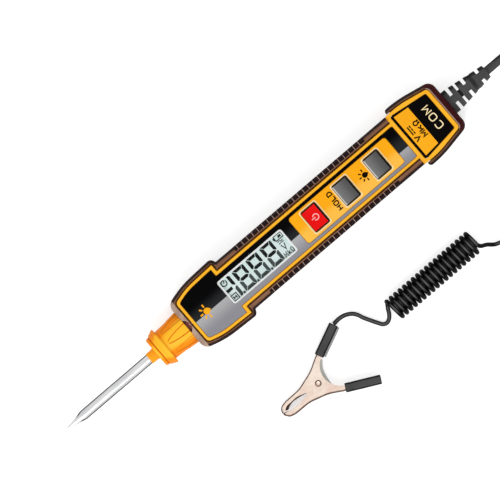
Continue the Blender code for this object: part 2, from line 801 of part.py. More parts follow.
def make_tail_bumper(rubber):
    bm = bmesh.new()
    add_envelope(bm, tail_plan, 0)
    bumper = piece("tail_bumper", bm, rubber)
    rubber_cutters(bumper)
    cut(bumper, end_holes(GAP), "bumper_end_holes")
    return bumper


def make_face_overlay(print_finish):
    bm = bmesh.new()
    add_prism(bm, panel_plan(PANEL_GAP), PANEL_LOW, PANEL_LOW + PANEL_THICKNESS)
    overlay = piece("face_overlay", bm, print_finish)
    bm = bmesh.new()
    field, window = FRONT + FIELD_START - PANEL_GAP, FRONT + WINDOW_START - PANEL_GAP
    half = FIELD_HALF + PANEL_GAP
    length = FIELD_LENGTH + 2 * PANEL_GAP
    radius = FIELD_RADIUS + PANEL_GAP
    low, high = PANEL_LOW - FAR, LAND_TOP + FAR
    add_prism(bm, rectangle(field, field + length, -half, half, radius, 3), low, high)
    half = WINDOW_HALF + PANEL_GAP
    length = WINDOW_LENGTH + 2 * PANEL_GAP
    radius = WINDOW_RADIUS + PANEL_GAP
    add_prism(bm, rectangle(window, window + length, -half, half, radius, 2), low, high)
    cut(overlay, bm, "overlay_openings")
    return overlay


def make_tail_label(print_finish):
    bm = bmesh.new()
    add_prism(bm, label_plan(PANEL_GAP), PANEL_LOW, PANEL_LOW + PANEL_THICKNESS)
    return piece("tail_label", bm, print_finish)


def make_display(clear, glass, white, strip_rubber):
    start, half = FRONT + WINDOW_START, WINDOW_HALF
    bm = bmesh.new()
    outline = rectangle(start, start + WINDOW_LENGTH, -half, half, WINDOW_RADIUS, 2)
    add_prism(bm, outline, PANEL_LOW, PANEL_LOW + PANEL_THICKNESS)
    piece("display_lens", bm, clear)
    top = CEILING - GAP
    low = top - GLASS_THICKNESS
    x_low, x_high = start - GLASS_MARGIN, start + WINDOW_LENGTH + GLASS_MARGIN
    reach = half + GLASS_MARGIN
    bm = bmesh.new()
    add_box(bm, x_low, x_high, -reach, reach, low, top)
    piece("display_glass", bm, glass)
    strip = reach - STRIP_WIDTH
    bm = bmesh.new()
    x_in = STRIP_MARGIN
    add_box(bm, x_low + x_in, x_high - x_in, -strip + GAP, strip - GAP, BOARD_TOP + GAP, low - GAP)
    piece("display_backlight", bm, white)
    for index, side in enumerate((-1, 1)):
        y_low, y_high = sorted((side * strip, side * reach))
        bm = bmesh.new()
        add_box(bm, x_low + x_in, x_high - x_in, y_low, y_high, BOARD_TOP + GAP, low - GAP)
        piece(f"contact_strip_{index + 1}", bm, strip_rubber)


def make_keys(red, grey, switch_black):
    flange_top = CEILING - GAP
    flange_low = flange_top - KEY_FLANGE_THICKNESS
    names = (("power", red), ("hold", grey), ("light", grey))
    for x, (name, colour) in zip(key_places(), names):
        slide = bpy.data.objects.new(f"{name}_key_slide", None)
        slide.location = (x, 0, flange_low)
        bpy.context.scene.collection.objects.link(slide)

        def outline(grow):
            length, width = KEY_LENGTH / 2 + grow, KEY_WIDTH / 2 + grow
            return rectangle(-length, length, -width, width, KEY_RADIUS, 2)

        top = LAND_TOP + KEY_STAND - flange_low
        bm = bmesh.new()
        add_stack(bm, [
            (0, outline(KEY_FLANGE)),
            (KEY_FLANGE_THICKNESS, outline(KEY_FLANGE)),
            (KEY_FLANGE_THICKNESS, outline(0)),
            (top - KEY_EDGE, outline(0)),
            (top - KEY_EDGE / 3, outline(-KEY_EDGE / 3)),
            (top, outline(-KEY_EDGE)),
        ])
        piece(f"{name}_key", bm, colour, slide)
        bm = bmesh.new()
        half, low = SWITCH_SIZE / 2, BOARD_TOP + GAP
        plunger = flange_low - KEY_TRAVEL - GAP / 2
        square = rectangle(x - half, x + half, -half, half, SWITCH_SIZE / 10, 2)
        small = SWITCH_BUTTON / 2
        button = rectangle(x - small, x + small, -small, small, small * 0.9, 2)
        add_stack(bm, [(low, square), (low + SWITCH_BODY, square), (low + SWITCH_BODY, button), (plunger, button)])
        piece(f"{name}_switch", bm, switch_black)


def make_board(green, chip_black, buzzer_black):
    head = STEP - BOARD_NECK_SHORT
    narrow = BOARD_HALF - BOARD_HEAD_NARROWER
    outline = rounded([
        (BOARD_X, -narrow, 0, 0),
        (head, -narrow, 0, 0),
        (head, -BOARD_HALF, 0, 0),
        (BOARD_END, -BOARD_HALF, 0, 0),
        (BOARD_END, BOARD_HALF, 0, 0),
        (head, BOARD_HALF, 0, 0),
        (head, narrow, 0, 0),
        (BOARD_X, narrow, 0, 0),
    ])
    bm = bmesh.new()
    add_prism(bm, outline, BOARD_BOTTOM, BOARD_TOP)
    piece("circuit_board", bm, green)
    half, centre = CHIP_SIZE / 2, STEP + CHIP_FROM_HEAD
    bm = bmesh.new()
    add_box(bm, centre - half, centre + half, -half, half, BOARD_BOTTOM - GAP - CHIP_HEIGHT, BOARD_BOTTOM - GAP)
    piece("measuring_chip", bm, chip_black)
    bm = bmesh.new()
    low = BOARD_BOTTOM - GAP - BUZZER_HEIGHT
    add_rod(bm, low, BOARD_BOTTOM - GAP, BUZZER_RADIUS, 16, upright(STEP + BUZZER_FROM_HEAD, 0))
    piece("buzzer", bm, buzzer_black)


def make_nozzle(orange):
    guard = NECK + NECK_LENGTH
    barb = guard + GUARD_LENGTH
    ring = guard + GUARD_RING
    cone = barb + GUARD_EDGE
    ledge = FRONT - (FRONT - cone) * CONE_LEDGE
    slope = (CONE_RADIUS - CONE_FRONT_RADIUS) / (FRONT - cone)
    face = FRONT - GAP
    back = FRONT + ROOT_LENGTH
    inside = FRONT + CAVITY_INSET + GAP
    pocket = back - FERRULE_LENGTH
    bore = PROBE_RADIUS + PANEL_GAP
    neck = bore + NECK_WALL
    ferrule = PROBE_RADIUS + FERRULE_WALL + PANEL_GAP + GAP
    rise = (GUARD_RADIUS - GUARD_FRONT_RADIUS) / (barb - guard)
    profile = [
        (NECK, bore),
        (NECK, neck),
        (guard, neck),
        (guard, GUARD_FRONT_RADIUS),
        (ring - GAP, GUARD_FRONT_RADIUS + rise * (ring - guard - GAP)),
        (ring, GUARD_FRONT_RADIUS + rise * (ring - guard) - GAP),
        (ring + GAP, GUARD_FRONT_RADIUS + rise * (ring - guard + GAP)),
        (barb, GUARD_RADIUS),
        (cone, GUARD_RADIUS - GAP),
        (cone, CONE_FRONT_RADIUS),
        (ledge, CONE_FRONT_RADIUS + slope * (ledge - cone) - GAP / 2),
        (ledge + GAP / 2, CONE_FRONT_RADIUS + slope * (ledge - cone)),
        (face, CONE_RADIUS),
        (face, ROOT_RADIUS),
        (inside, ROOT_RADIUS),
        (inside, ROOT_COLLAR_RADIUS),
        (back, ROOT_COLLAR_RADIUS),
        (back, ferrule),
        (pocket, ferrule),
        (pocket, bore),
    ]
    bm = bmesh.new()
    add_turned(bm, profile, 32, along_x(0, 0, AXIS_HEIGHT), ring=True)
    nozzle = piece("nozzle", bm, orange)
    bm = bmesh.new()
    length = (FRONT - cone) * FLUTE_SHARE
    for index in range(FLUTES):
        angle = 2 * pi * index / FLUTES
        start = FRONT - length
        radius = CONE_RADIUS - slope * length + GAP / 3
        tilt = atan2(slope * length - GAP / 3, length)
        place = (
            Matrix.Translation((0, 0, AXIS_HEIGHT))
            @ Matrix.Rotation(angle, 4, "X")
            @ Matrix.Translation((start, 0, radius))
            @ Matrix.Rotation(pi / 2 - tilt, 4, "Y")
            @ Matrix.Diagonal((FLUTE_FLATNESS, 1.0, 1.0, 1.0))
        )
        reach = length + 2 * GAP
        middle = (reach * 0.5, FLUTE_WIDTH * 0.78)
        add_turned(bm, [(0, 0), middle, (reach, FLUTE_WIDTH), (reach, 0)], 10, place)
    cut(nozzle, bm, "flutes")
    return nozzle


def make_probe(steel, brass):
    back = FRONT + ROOT_LENGTH + PANEL_GAP
    front = back - FERRULE_LENGTH + GAP
    inner = front + PROBE_SEAT
    place = along_x(0, 0, AXIS_HEIGHT)
    shoulder = TIP + PROBE_TAPER - PROBE_SHOULDER
    bm = bmesh.new()
    add_turned(bm, [
        (TIP, 0),
        (TIP + PROBE_POINT / 2, PROBE_POINT),
        (shoulder, PROBE_RADIUS * 0.86),
        (TIP + PROBE_TAPER, PROBE_RADIUS),
        (inner, PROBE_RADIUS),
        (inner, 0),
    ], 20, place)
    piece("probe_rod", bm, steel)
    bore = PROBE_RADIUS + PANEL_GAP
    outer = bore + FERRULE_WALL
    bm = bmesh.new()
    add_turned(bm, [
        (back, 0),
        (back, outer),
        (front, outer),
        (front, bore),
        (inner + GAP, bore),
        (inner + GAP, 0),
    ], 16, place)
    piece("probe_ferrule", bm, brass)
    leaf = back + GAP
    end = BOARD_X + 2 * PROBE_RADIUS
    top = BOARD_BOTTOM - GAP
    low = AXIS_HEIGHT - PROBE_RADIUS
    outline = rounded([
        (leaf, low, 0, 0),
        (leaf + CONTACT_THICKNESS, low, 0, 0),
        (leaf + CONTACT_THICKNESS, top - CONTACT_THICKNESS, 0, 0),
        (end, top - CONTACT_THICKNESS, 0, 0),
        (end, top, 0, 0),
        (leaf, top, 0, 0),
    ])
    turn = Matrix(((1, 0, 0, 0), (0, 0, -1, 0), (0, 1, 0, 0), (0, 0, 0, 1)))
    bm = bmesh.new()
    add_prism(bm, outline, -PROBE_RADIUS / 2, PROBE_RADIUS / 2, turn)
    piece("probe_contact", bm, brass)


def make_lamp(lens):
    """Torch lamp with a domed front, a rim and two legs down to the board."""
    tip = FRONT + NOTCH_DEPTH - LAMP_RADIUS * 0.4
    back = tip + LAMP_LENGTH
    radius = LAMP_RADIUS
    profile = [(tip, 0)]
    for step in (1, 2, 3):
        angle = pi / 2 * step / 3
        profile.append((tip + radius * (1 - cos(angle)), radius * sin(angle)))
    profile += [(back, radius), (back, 0)]
    bm = bmesh.new()
    add_turned(bm, profile, 12, along_x(0, 0, LAMP_HEIGHT))
    lamp = piece("torch_lamp", bm, lens)
    bm = bmesh.new()
    for side in (-1, 1):
        y = side * LEG_HALF_SPACE
        half = LEG_THICKNESS / 2
        x = back - LEG_THICKNESS
        add_box(bm, x - half, x + half, y - half, y + half, BOARD_TOP + GAP, LAMP_HEIGHT)
    join(lamp, bm, "lamp_legs")
    return lamp


def helix(radius, pitch, turns, steps, start, phase):
    points = []
    for index in range(int(turns * steps) + 1):
        angle = phase + 2 * pi * index / steps
        points.append((radius * cos(angle), radius * sin(angle), start + pitch * index / steps))
    return points


def wire(name, points, radius, material, resolution=1, parent=None, location=(0, 0, 0)):
    curve = bpy.data.curves.new(name, "CURVE")
    curve.dimensions = "3D"
    curve.bevel_depth = radius
    curve.bevel_resolution = resolution
    curve.use_fill_caps = True
    spline = curve.splines.new("POLY")
    spline.points.add(len(points) - 1)
    for point, place in zip(spline.points, points):
        point.co = (*place, 1.0)
    curve.materials.append(material)
    obj = bpy.data.objects.new(name, curve)
    obj.location = location
    obj.parent = parent
    bpy.context.scene.collection.objects.link(obj)
    return obj


def smooth_route(route, spacing):
    """Points along a smooth curve through hand-chosen places, about one spacing apart."""
    places = [Vector(place) for place in route]
    ends = [2 * places[0] - places[1], *places, 2 * places[-1] - places[-2]]
    points = []
    for index in range(len(places) - 1):
        before, here, there, after = ends[index:index + 4]
        steps = max(1, ceil((there - here).length / spacing))
        for step in range(steps):
            t = step / steps
            a = 2 * here
            b = (there - before) * t
            c = (2 * before - 5 * here + 4 * there - after) * t ** 2
            d = (3 * here - before - 3 * there + after) * t ** 3
            points.append((a + b + c + d) / 2)
    points.append(places[-1])
    return points


def battery_profile():
    """Cell along +X from its flat end, with its nub at the far end."""
    return [
        (0, 0),
        (0, CELL_RADIUS - GAP),
        (GAP, CELL_RADIUS),
        (CELL_LENGTH - GAP, CELL_RADIUS),
        (CELL_LENGTH, CELL_RADIUS - GAP),
        (CELL_LENGTH, CELL_NUB_RADIUS),
        (CELL_LENGTH + CELL_NUB, CELL_NUB_RADIUS),
        (CELL_LENGTH + CELL_NUB, 0),
    ]


def make_battery_bay(cell_finish, plated, spring_steel, orange, steel):
    height = CELL_HEIGHT
    plate_x = BAY_X + GAP
    first = plate_x + CONTACT_THICKNESS + GAP
    last_plate = BAY_END - GAP - CONTACT_THICKNESS
    side = CELL_RADIUS + GAP / 2
    bm = bmesh.new()
    add_turned(bm, battery_profile(), 20, along_x(first + SPRING_LENGTH + GAP, side, height))
    piece("battery_1", bm, cell_finish)
    bm = bmesh.new()
    flip = Matrix.Translation((last_plate - GAP - SPRING_LENGTH - GAP, -side, height)) @ Matrix.Rotation(-pi / 2, 4, "Y")
    add_turned(bm, battery_profile(), 20, flip)
    piece("battery_2", bm, cell_finish)
    low, high = height - CONTACT_HEIGHT / 2, height + CONTACT_HEIGHT / 2
    wide = side + CONTACT_WIDTH / 2
    bm = bmesh.new()
    add_box(bm, plate_x, plate_x + CONTACT_THICKNESS, -wide, wide, low, high)
    piece("link_plate", bm, plated)
    for name, y in (("positive_plate", side), ("negative_plate", -side)):
        bm = bmesh.new()
        half = CONTACT_WIDTH / 2
        add_box(bm, last_plate, last_plate + CONTACT_THICKNESS, y - half, y + half, low, high)
        piece(name, bm, plated)
    turns_length = SPRING_LENGTH - 2 * SPRING_WIRE
    pitch = turns_length / SPRING_TURNS
    coil = helix(SPRING_RADIUS, pitch, SPRING_TURNS, 10, 0, 0)
    for name, x, y in (("link_spring", first, side), ("battery_spring", last_plate - GAP - SPRING_LENGTH, -side)):
        points = [(x + SPRING_WIRE + z, y + a, height + b) for a, b, z in coil]
        wire(name, points, SPRING_WIRE, spring_steel, 0)
    make_battery_door(orange, steel)


def make_battery_door(orange, steel):
    bm = bmesh.new()
    add_box(bm, DOOR_START, DOOR_END, -DOOR_HALF, DOOR_HALF, 0, DOOR_THICKNESS)
    door = piece("battery_door", bm, orange)
    bm = bmesh.new()
    tongue_top = DOOR_THICKNESS + CONTACT_THICKNESS + GAP
    half = DOOR_TONGUE_HALF
    add_box(bm, BAY_X - DOOR_TONGUE, DOOR_START + CONTACT_THICKNESS, -half, half, DOOR_THICKNESS - GAP / 2, tongue_top)
    join(door, bm, "door_tongue")
    bm = bmesh.new()
    head = SCREW_HEAD_RADIUS + GAP
    sink = SCREW_HEAD + 2 * GAP / 3
    hole = SCREW_RADIUS + GAP
    profile = [(-FAR, 0), (-FAR, head), (sink, head), (sink, hole), (FAR, hole), (FAR, 0)]
    add_turned(bm, profile, 12, upright(DOOR_SCREW_X, 0))
    cut(door, bm, "door_screw_sink")
    add_screw("door_screw", DOOR_SCREW_X, 0, GAP / 3, DOOR_SCREW_TOP, steel)


def add_screw(name, x, y, low, high, material):
    """Screw with its head down and a cross recess left to the finish."""
    bm = bmesh.new()
    add_turned(bm, [
        (low, 0),
        (low, SCREW_HEAD_RADIUS * 0.88),
        (low + SCREW_HEAD / 3, SCREW_HEAD_RADIUS),
        (low + SCREW_HEAD, SCREW_HEAD_RADIUS),
        (low + SCREW_HEAD, SCREW_RADIUS),
        (high - SCREW_RADIUS, SCREW_RADIUS),
        (high, 0),
    ], 12, upright(x, y))
    return piece(name, bm, material)


def make_case_screws(steel):
    for index, (x, y) in enumerate(case_screw_places()):
        add_screw(f"case_screw_{index + 1}", x, y, SCREW_SINK, CASE_SCREW_TOP, steel)


def make_strain_relief(black):
    place = along_x(TAIL, 0, AXIS_HEIGHT)
    flange = -CAVITY_INSET - GAP
    bm = bmesh.new()
    add_turned(bm, [
        (flange - RELIEF_FLANGE, 0),
        (flange - RELIEF_FLANGE, RELIEF_FLANGE_RADIUS),
        (flange, RELIEF_FLANGE_RADIUS),
        (flange, RELIEF_NECK_RADIUS),
        (GAP, RELIEF_NECK_RADIUS),
        (GAP, RELIEF_BASE_RADIUS),
        (RELIEF_SIDE_SLOTS[0][0], RELIEF_BASE_RADIUS),
        (RELIEF_LENGTH, RELIEF_END_RADIUS),
        (RELIEF_LENGTH, RELIEF_TAIL_RADIUS),
        (RELIEF_LENGTH + RELIEF_TAIL - GAP, RELIEF_TAIL_RADIUS),
        (RELIEF_LENGTH + RELIEF_TAIL, RELIEF_TAIL_RADIUS - GAP),
        (RELIEF_LENGTH + RELIEF_TAIL, 0),
    ], 16, place)
    relief = piece("strain_relief", bm, black)
    wide = RELIEF_BASE_RADIUS + FAR
    bm = bmesh.new()
    for start, stop in RELIEF_SIDE_SLOTS:
        for side in (-1, 1):
            y_low, y_high = sorted((side * RELIEF_CORE, side * wide))
            add_box(bm, TAIL + start, TAIL + stop, y_low, y_high, AXIS_HEIGHT - wide, AXIS_HEIGHT + wide)
    cut(relief, bm, "side_slots")
    bm = bmesh.new()
    for start, stop in RELIEF_FACE_SLOTS:
        for side in (-1, 1):
            z_low, z_high = sorted((side * RELIEF_CORE, side * wide))
            add_box(bm, TAIL + start, TAIL + stop, -wide, wide, AXIS_HEIGHT + z_low, AXIS_HEIGHT + z_high)
    cut(relief, bm, "face_slots")
    inner = TAIL + flange - RELIEF_FLANGE - GAP
    third = (inner - BOARD_END) / 3
    middle = BOARD_BOTTOM + BOARD_THICKNESS / 2
    route = [
        (inner, 0, AXIS_HEIGHT),
        (inner - third, 0, AXIS_HEIGHT + GAP),
        (BOARD_END + third, 0, middle - GAP),
        (BOARD_END + GAP, 0, middle),
    ]
    wire("inner_wire", smooth_route(route, INNER_WIRE_RADIUS * 5), INNER_WIRE_RADIUS, black, 1)


def laid(route, x, y):
    """Places of a cord's centre from a route measured from x, y and the floor."""
    return [(x + along, y + across, CORD_RADIUS + height) for along, across, height in route]


def make_cord(black):
    relief_end = TAIL + RELIEF_LENGTH + RELIEF_TAIL
    coil_end = COIL_START + COIL_LENGTH
    lead = [(relief_end + GAP, 0, AXIS_HEIGHT), *laid(LEAD_FALL, relief_end, 0), *laid(LEAD_RETURN, coil_end, COIL_Y)]
    wire("cord_lead", smooth_route(lead, CORD_RADIUS * 5), CORD_RADIUS, black, 2)
    sleeve_end = Vector(FIXED_SLEEVE_START) + direction(FIXED_ANGLE) * (FIXED_SLEEVE_LENGTH + GAP)
    x, y = RIVET_X + sleeve_end.x, RIVET_Y + sleeve_end.y
    tail = [(x, y, CLIP_HEIGHT), *laid(TAIL_RISE, x, y), *laid(TAIL_RUN, COIL_START, COIL_Y)]
    wire("cord_tail", smooth_route(tail, CORD_RADIUS * 4), CORD_RADIUS, black, 2)
    bm = bmesh.new()
    edge = CORD_RADIUS
    add_turned(bm, [
        (0, 0),
        (0, COIL_RADIUS - edge),
        (edge, COIL_RADIUS),
        (COIL_LENGTH - edge, COIL_RADIUS),
        (COIL_LENGTH, COIL_RADIUS - edge),
        (COIL_LENGTH, 0),
    ], 20, along_x(COIL_START, COIL_Y, COIL_RADIUS))
    piece("cord_coil", bm, black)


def direction(angle):
    return Vector((cos(angle), sin(angle)))


def handle_corners(start, angle, length, outward):
    """Outer and inner corners of a handle just before its sleeve and at its end."""
    along = direction(angle)
    across = Vector((-along.y, along.x)) * outward
    begin = Vector(start) - along * HANDLE_LEAD
    end = Vector(start) + along * (length - HANDLE_SHORT)
    outer = (begin + across * HANDLE_HALF, end + across * HANDLE_HALF)
    inner = (begin - across * HANDLE_HALF, end - across * HANDLE_HALF)
    return outer, inner


def fixed_jaw_corners():
    """Corners from the tip along the mating edge to the handle, and back along the outer edge."""
    outer, inner = handle_corners(FIXED_SLEEVE_START, FIXED_ANGLE, FIXED_SLEEVE_LENGTH, 1)
    mating = [
        (-0.0211, 0.00015, 0, 0),
        (-0.0197, 0.00015, 0, 0),
        (-0.0178, 0.0015, 0.003, 2),
        (-0.0112, 0.0017, 0.006, 2),
        (-0.0064, 0.00015, 0.002, 1),
        (-0.0028, -0.0031, 0.0025, 2),
        (0.0031, -0.0031, 0.003, 3),
        (0.0042, 0.004, 0.007, 3),
        (inner[0].x, inner[0].y, 0.004, 2),
        (inner[1].x, inner[1].y, 0, 0),
    ]
    outside = [
        (outer[1].x, outer[1].y, 0, 0),
        (outer[0].x, outer[0].y, 0.012, 2),
        (0.0005, 0.0064, 0.02, 2),
        (-0.0085, 0.0036, 0.014, 2),
        (-0.0196, 0.0035, 0.0024, 3),
    ]
    return mating, outside


def moving_jaw_corners():
    outer, inner = handle_corners(MOVING_SLEEVE_START, MOVING_ANGLE, MOVING_SLEEVE_LENGTH, -1)
    mating = [
        (-0.0211, -0.00015, 0, 0),
        (-0.0197, -0.00015, 0, 0),
        (-0.0178, -0.0014, 0.003, 2),
        (-0.0112, -0.0016, 0.006, 2),
        (-0.0064, -0.00015, 0.002, 1),
        (-0.0026, 0.003, 0.0025, 2),
        (0.003, 0.003, 0.003, 3),
        (0.0042, -0.0042, 0.007, 3),
        (inner[0].x, inner[0].y, 0.004, 2),
        (inner[1].x, inner[1].y, 0, 0),
    ]
    outside = [
        (outer[1].x, outer[1].y, 0, 0),
        (outer[0].x, outer[0].y, 0.012, 2),
        (0.0003, -0.0067, 0.02, 2),
        (-0.0085, -0.0042, 0.014, 2),
        (-0.0192, -0.0041, 0.0028, 3),
    ]
    return mating, outside


def make_jaw(name, corners, depth, metal, pivot):
    """Stamped channel: two side plates joined by a web along the outer edge."""
    mating, outside = corners
    chain = mating + outside
    margins = [-FAR / 2] * len(mating) + [CLIP_SHEET] * len(outside)
    margins[len(mating) - 1] = CLIP_SHEET / 4
    if name == "clip_moving_jaw":
        chain = chain[::-1]
        margins = margins[-2::-1] + margins[-1:]
    half = depth / 2
    bm = bmesh.new()
    add_prism(bm, rounded(chain), -half, half)
    jaw = piece(name, bm, metal, pivot)
    bm = bmesh.new()
    inside = half - CLIP_SHEET
    add_prism(bm, rounded(offset(chain, margins)), -inside, inside)
    cut(jaw, bm, name + "_channel")
    bm = bmesh.new()
    add_rod(bm, -depth, depth, RIVET_RADIUS + PANEL_GAP, 12, upright(0, 0))
    cut(jaw, bm, name + "_rivet_hole")
    return jaw


def make_sleeve(name, start, angle, length, depth, black, pivot):
    """Soft tube pushed over a handle, open at both ends."""
    half, width = depth / 2, SLEEVE_WIDTH / 2
    outer = rectangle(-width, width, -half, half, SLEEVE_RADIUS, 3)
    width, half = width - SLEEVE_WALL, half - SLEEVE_WALL
    inner = rectangle(-width, width, -half, half, SLEEVE_WALL / 2, 1)
    place = (
        Matrix.Translation((*start, 0))
        @ Matrix.Rotation(angle, 4, "Z")
        @ Matrix(((0, 0, 1, 0), (1, 0, 0, 0), (0, 1, 0, 0), (0, 0, 0, 1)))
    )
    bm = bmesh.new()
    add_prism(bm, outer, 0, length, place)
    sleeve = piece(name, bm, black, pivot)
    bm = bmesh.new()
    add_prism(bm, inner, -FAR, length + FAR, place)
    cut(sleeve, bm, name + "_bore")
    return sleeve


def make_clip(copper, steel, black):
    pivot = bpy.data.objects.new("clip_pivot", None)
    pivot.location = (RIVET_X, RIVET_Y, CLIP_HEIGHT)
    bpy.context.scene.collection.objects.link(pivot)
    moving_depth = FIXED_DEPTH - 2 * CLIP_SHEET - 2 * GAP
    make_jaw("clip_fixed_jaw", fixed_jaw_corners(), FIXED_DEPTH, copper, pivot)
    make_jaw("clip_moving_jaw", moving_jaw_corners(), moving_depth, copper, pivot)
    make_sleeve(
        "clip_fixed_sleeve", FIXED_SLEEVE_START, FIXED_ANGLE, FIXED_SLEEVE_LENGTH, SLEEVE_DEPTH, black, pivot,
    )
    moving_sleeve_depth = moving_depth + 2 * SLEEVE_WALL + 2 * GAP
    make_sleeve(
        "clip_moving_sleeve", MOVING_SLEEVE_START, MOVING_ANGLE, MOVING_SLEEVE_LENGTH, moving_sleeve_depth, black,
        pivot,
    )
    face = FIXED_DEPTH / 2 + RIVET_GAP
    head = face + RIVET_HEAD
    floor = head - RIVET_HEAD * 0.6
    bm = bmesh.new()
    add_turned(bm, [
        (-floor, 0),
        (-floor, RIVET_DIMPLE_RADIUS * 0.8),
        (-head, RIVET_DIMPLE_RADIUS),
        (-head, RIVET_HEAD_RADIUS - RIVET_GAP),
        (-face, RIVET_HEAD_RADIUS),
        (-face, RIVET_RADIUS),
        (face, RIVET_RADIUS),
        (face, RIVET_HEAD_RADIUS),
        (head, RIVET_HEAD_RADIUS - RIVET_GAP),
        (head, RIVET_DIMPLE_RADIUS),
        (floor, RIVET_DIMPLE_RADIUS * 0.8),
        (floor, 0),
    ], 16, upright(0, 0))
    piece("clip_rivet", bm, steel, pivot)
    rise = CLIP_SPRING_PITCH * CLIP_SPRING_TURNS
    top, low = rise / 2, -rise / 2
    sweep = CLIP_SPRING_TURNS + 0.5
    coil = helix(CLIP_SPRING_RADIUS, rise / sweep, sweep, 12, low, -pi / 2 + radians(35))
    reach = CLIP_SHEET + CLIP_SPRING_WIRE + GAP
    first = (0.0068, -0.0100 + reach, low)
    last = (0.0062, 0.0094 - reach, top)
    points = [first, *coil, last]
    wire("clip_spring", points, CLIP_SPRING_WIRE, steel, 1, pivot)


def main():
    clear_scene()
    orange = finish("orange_plastic", 248, 168, 40, 0.42)
    nozzle_orange = finish("nozzle_orange", 250, 152, 20, 0.32)
    rubber = finish("brown_rubber", 86, 62, 56, 0.7)
    overlay = finish("overlay_black", 16, 16, 18, 0.28)
    clear = finish("clear_lens", 226, 236, 232, 0.06)
    glass = finish("display_grey", 196, 216, 214, 0.18)
    white = finish("backlight_white", 240, 240, 236, 0.5)
    strip = finish("strip_rubber", 60, 60, 62, 0.7)
    red = finish("key_red", 238, 22, 18, 0.4)
    grey = finish("key_grey", 108, 106, 106, 0.45)
    black = finish("cord_black", 30, 30, 31, 0.5)
    board = finish("board_green", 24, 92, 48, 0.45)
    chip = finish("chip_black", 28, 28, 30, 0.5)
    steel = finish("polished_steel", 196, 198, 202, 0.2, 1.0)
    brass = finish("brass", 206, 168, 92, 0.3, 1.0)
    copper = finish("copper_plate", 228, 188, 168, 0.32, 1.0)
    lamp = finish("lamp_clear", 236, 236, 224, 0.1)
    cell = finish("cell_wrap", 52, 84, 128, 0.4)
    make_front_shell(orange)
    make_rear_shell(orange)
    make_grip(rubber)
    make_tail_bumper(rubber)
    make_face_overlay(overlay)
    make_tail_label(overlay)
    make_display(clear, glass, white, strip)
    make_keys(red, grey, chip)
    make_board(board, chip, chip)
    make_nozzle(nozzle_orange)
    make_probe(steel, brass)
    make_lamp(lamp)
    make_battery_bay(cell, steel, steel, orange, steel)
    make_case_screws(steel)
    make_strain_relief(black)
    make_cord(black)
    make_clip(copper, steel, black)


main()
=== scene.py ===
"""Looks of a pen-shaped circuit tester with a steel probe, a curly cord and a spring clip."""

from math import acos, asin, atan2, ceil, copysign, cos, pi, radians, sin, sqrt, tan

import bmesh
import bpy
from mathutils import Matrix, Vector
from mathutils.geometry import intersect_point_line


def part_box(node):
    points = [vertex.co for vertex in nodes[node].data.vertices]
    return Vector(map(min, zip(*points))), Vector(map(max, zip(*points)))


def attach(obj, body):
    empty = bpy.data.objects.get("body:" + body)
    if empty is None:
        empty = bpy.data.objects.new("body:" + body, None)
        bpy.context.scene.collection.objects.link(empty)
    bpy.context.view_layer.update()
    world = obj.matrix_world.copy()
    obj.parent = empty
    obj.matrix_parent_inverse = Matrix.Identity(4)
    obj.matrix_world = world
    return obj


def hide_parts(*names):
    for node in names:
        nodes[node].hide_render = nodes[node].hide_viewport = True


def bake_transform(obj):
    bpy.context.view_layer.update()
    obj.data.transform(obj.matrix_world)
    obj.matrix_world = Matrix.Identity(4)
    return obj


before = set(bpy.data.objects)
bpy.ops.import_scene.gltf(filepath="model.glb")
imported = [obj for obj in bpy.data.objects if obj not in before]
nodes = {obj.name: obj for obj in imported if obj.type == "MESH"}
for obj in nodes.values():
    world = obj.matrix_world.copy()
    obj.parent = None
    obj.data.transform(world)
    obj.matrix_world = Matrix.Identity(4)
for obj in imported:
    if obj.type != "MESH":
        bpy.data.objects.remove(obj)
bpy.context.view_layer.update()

# Places along the pen, with X along it and Z up towards the keys
GAP = 0.0003
TAIL = 0.113675
FRONT = -0.041425
NECK = -0.063475
TIP = -0.113675
STEP = -0.013325
TAIL_STEP = 0.089175
GRIP_END = 0.087475
AXIS = 0.0112
TOP = 0.0224
BASE = 0.0003
ROUND = 0.0045
ROUND_START = TOP - ROUND
LAND_TOP = 0.022
LAND_ROOT = 0.0187
PANEL_FLOOR = 0.0212
PANEL_TOP = 0.0219
CEILING = 0.0194
SHELL_SPLIT = AXIS + GAP / 2
GRIP_HALF = 0.01384
HEAD_HALF = 0.01645
TAIL_HALF = 0.01634
WINDOW = (-0.018255, 0.019185)
WINDOW_HALF = 0.0063
FIELD = (0.024645, 0.081645)
FIELD_HALF = 0.00725
KEYS = (0.034645, 0.052945, 0.071245)
KEY_HALF = (0.0042, 0.0057)
CORD_RADIUS = 0.001
RELIEF_END = 0.147805
CLIP = Vector((-0.01285, -0.05778, 0.0043))

# Finishes

DULL = 0.1
INKY = 0.03
ALONG = (0.06, 1.0, 1.0)
BRUSHED = (0.5, 1.0, 1.0)


def colour(*screen):
    """Linear colour from 8-bit screen values."""
    shares = [value / 255 for value in screen]
    return (*(s / 12.92 if s <= 0.04045 else ((s + 0.055) / 1.055) ** 2.4 for s in shares), 1.0)


class Value:
    """A socket that takes part in plain sums. Each sum adds a Math node."""

    def __init__(self, finish, socket):
        self.finish = finish
        self.socket = socket

    def math(self, operation, *values):
        return self.finish.node("Math", {"operation": operation}, dict(enumerate(values)))

    def __add__(self, other):
        return self.math("ADD", self, other)

    def __radd__(self, other):
        return self.math("ADD", other, self)

    def __sub__(self, other):
        return self.math("SUBTRACT", self, other)

    def __rsub__(self, other):
        return self.math("SUBTRACT", other, self)

    def __mul__(self, other):
        return self.math("MULTIPLY", self, other)

    def __rmul__(self, other):
        return self.math("MULTIPLY", other, self)

    def __neg__(self):
        return self.math("MULTIPLY", self, -1.0)


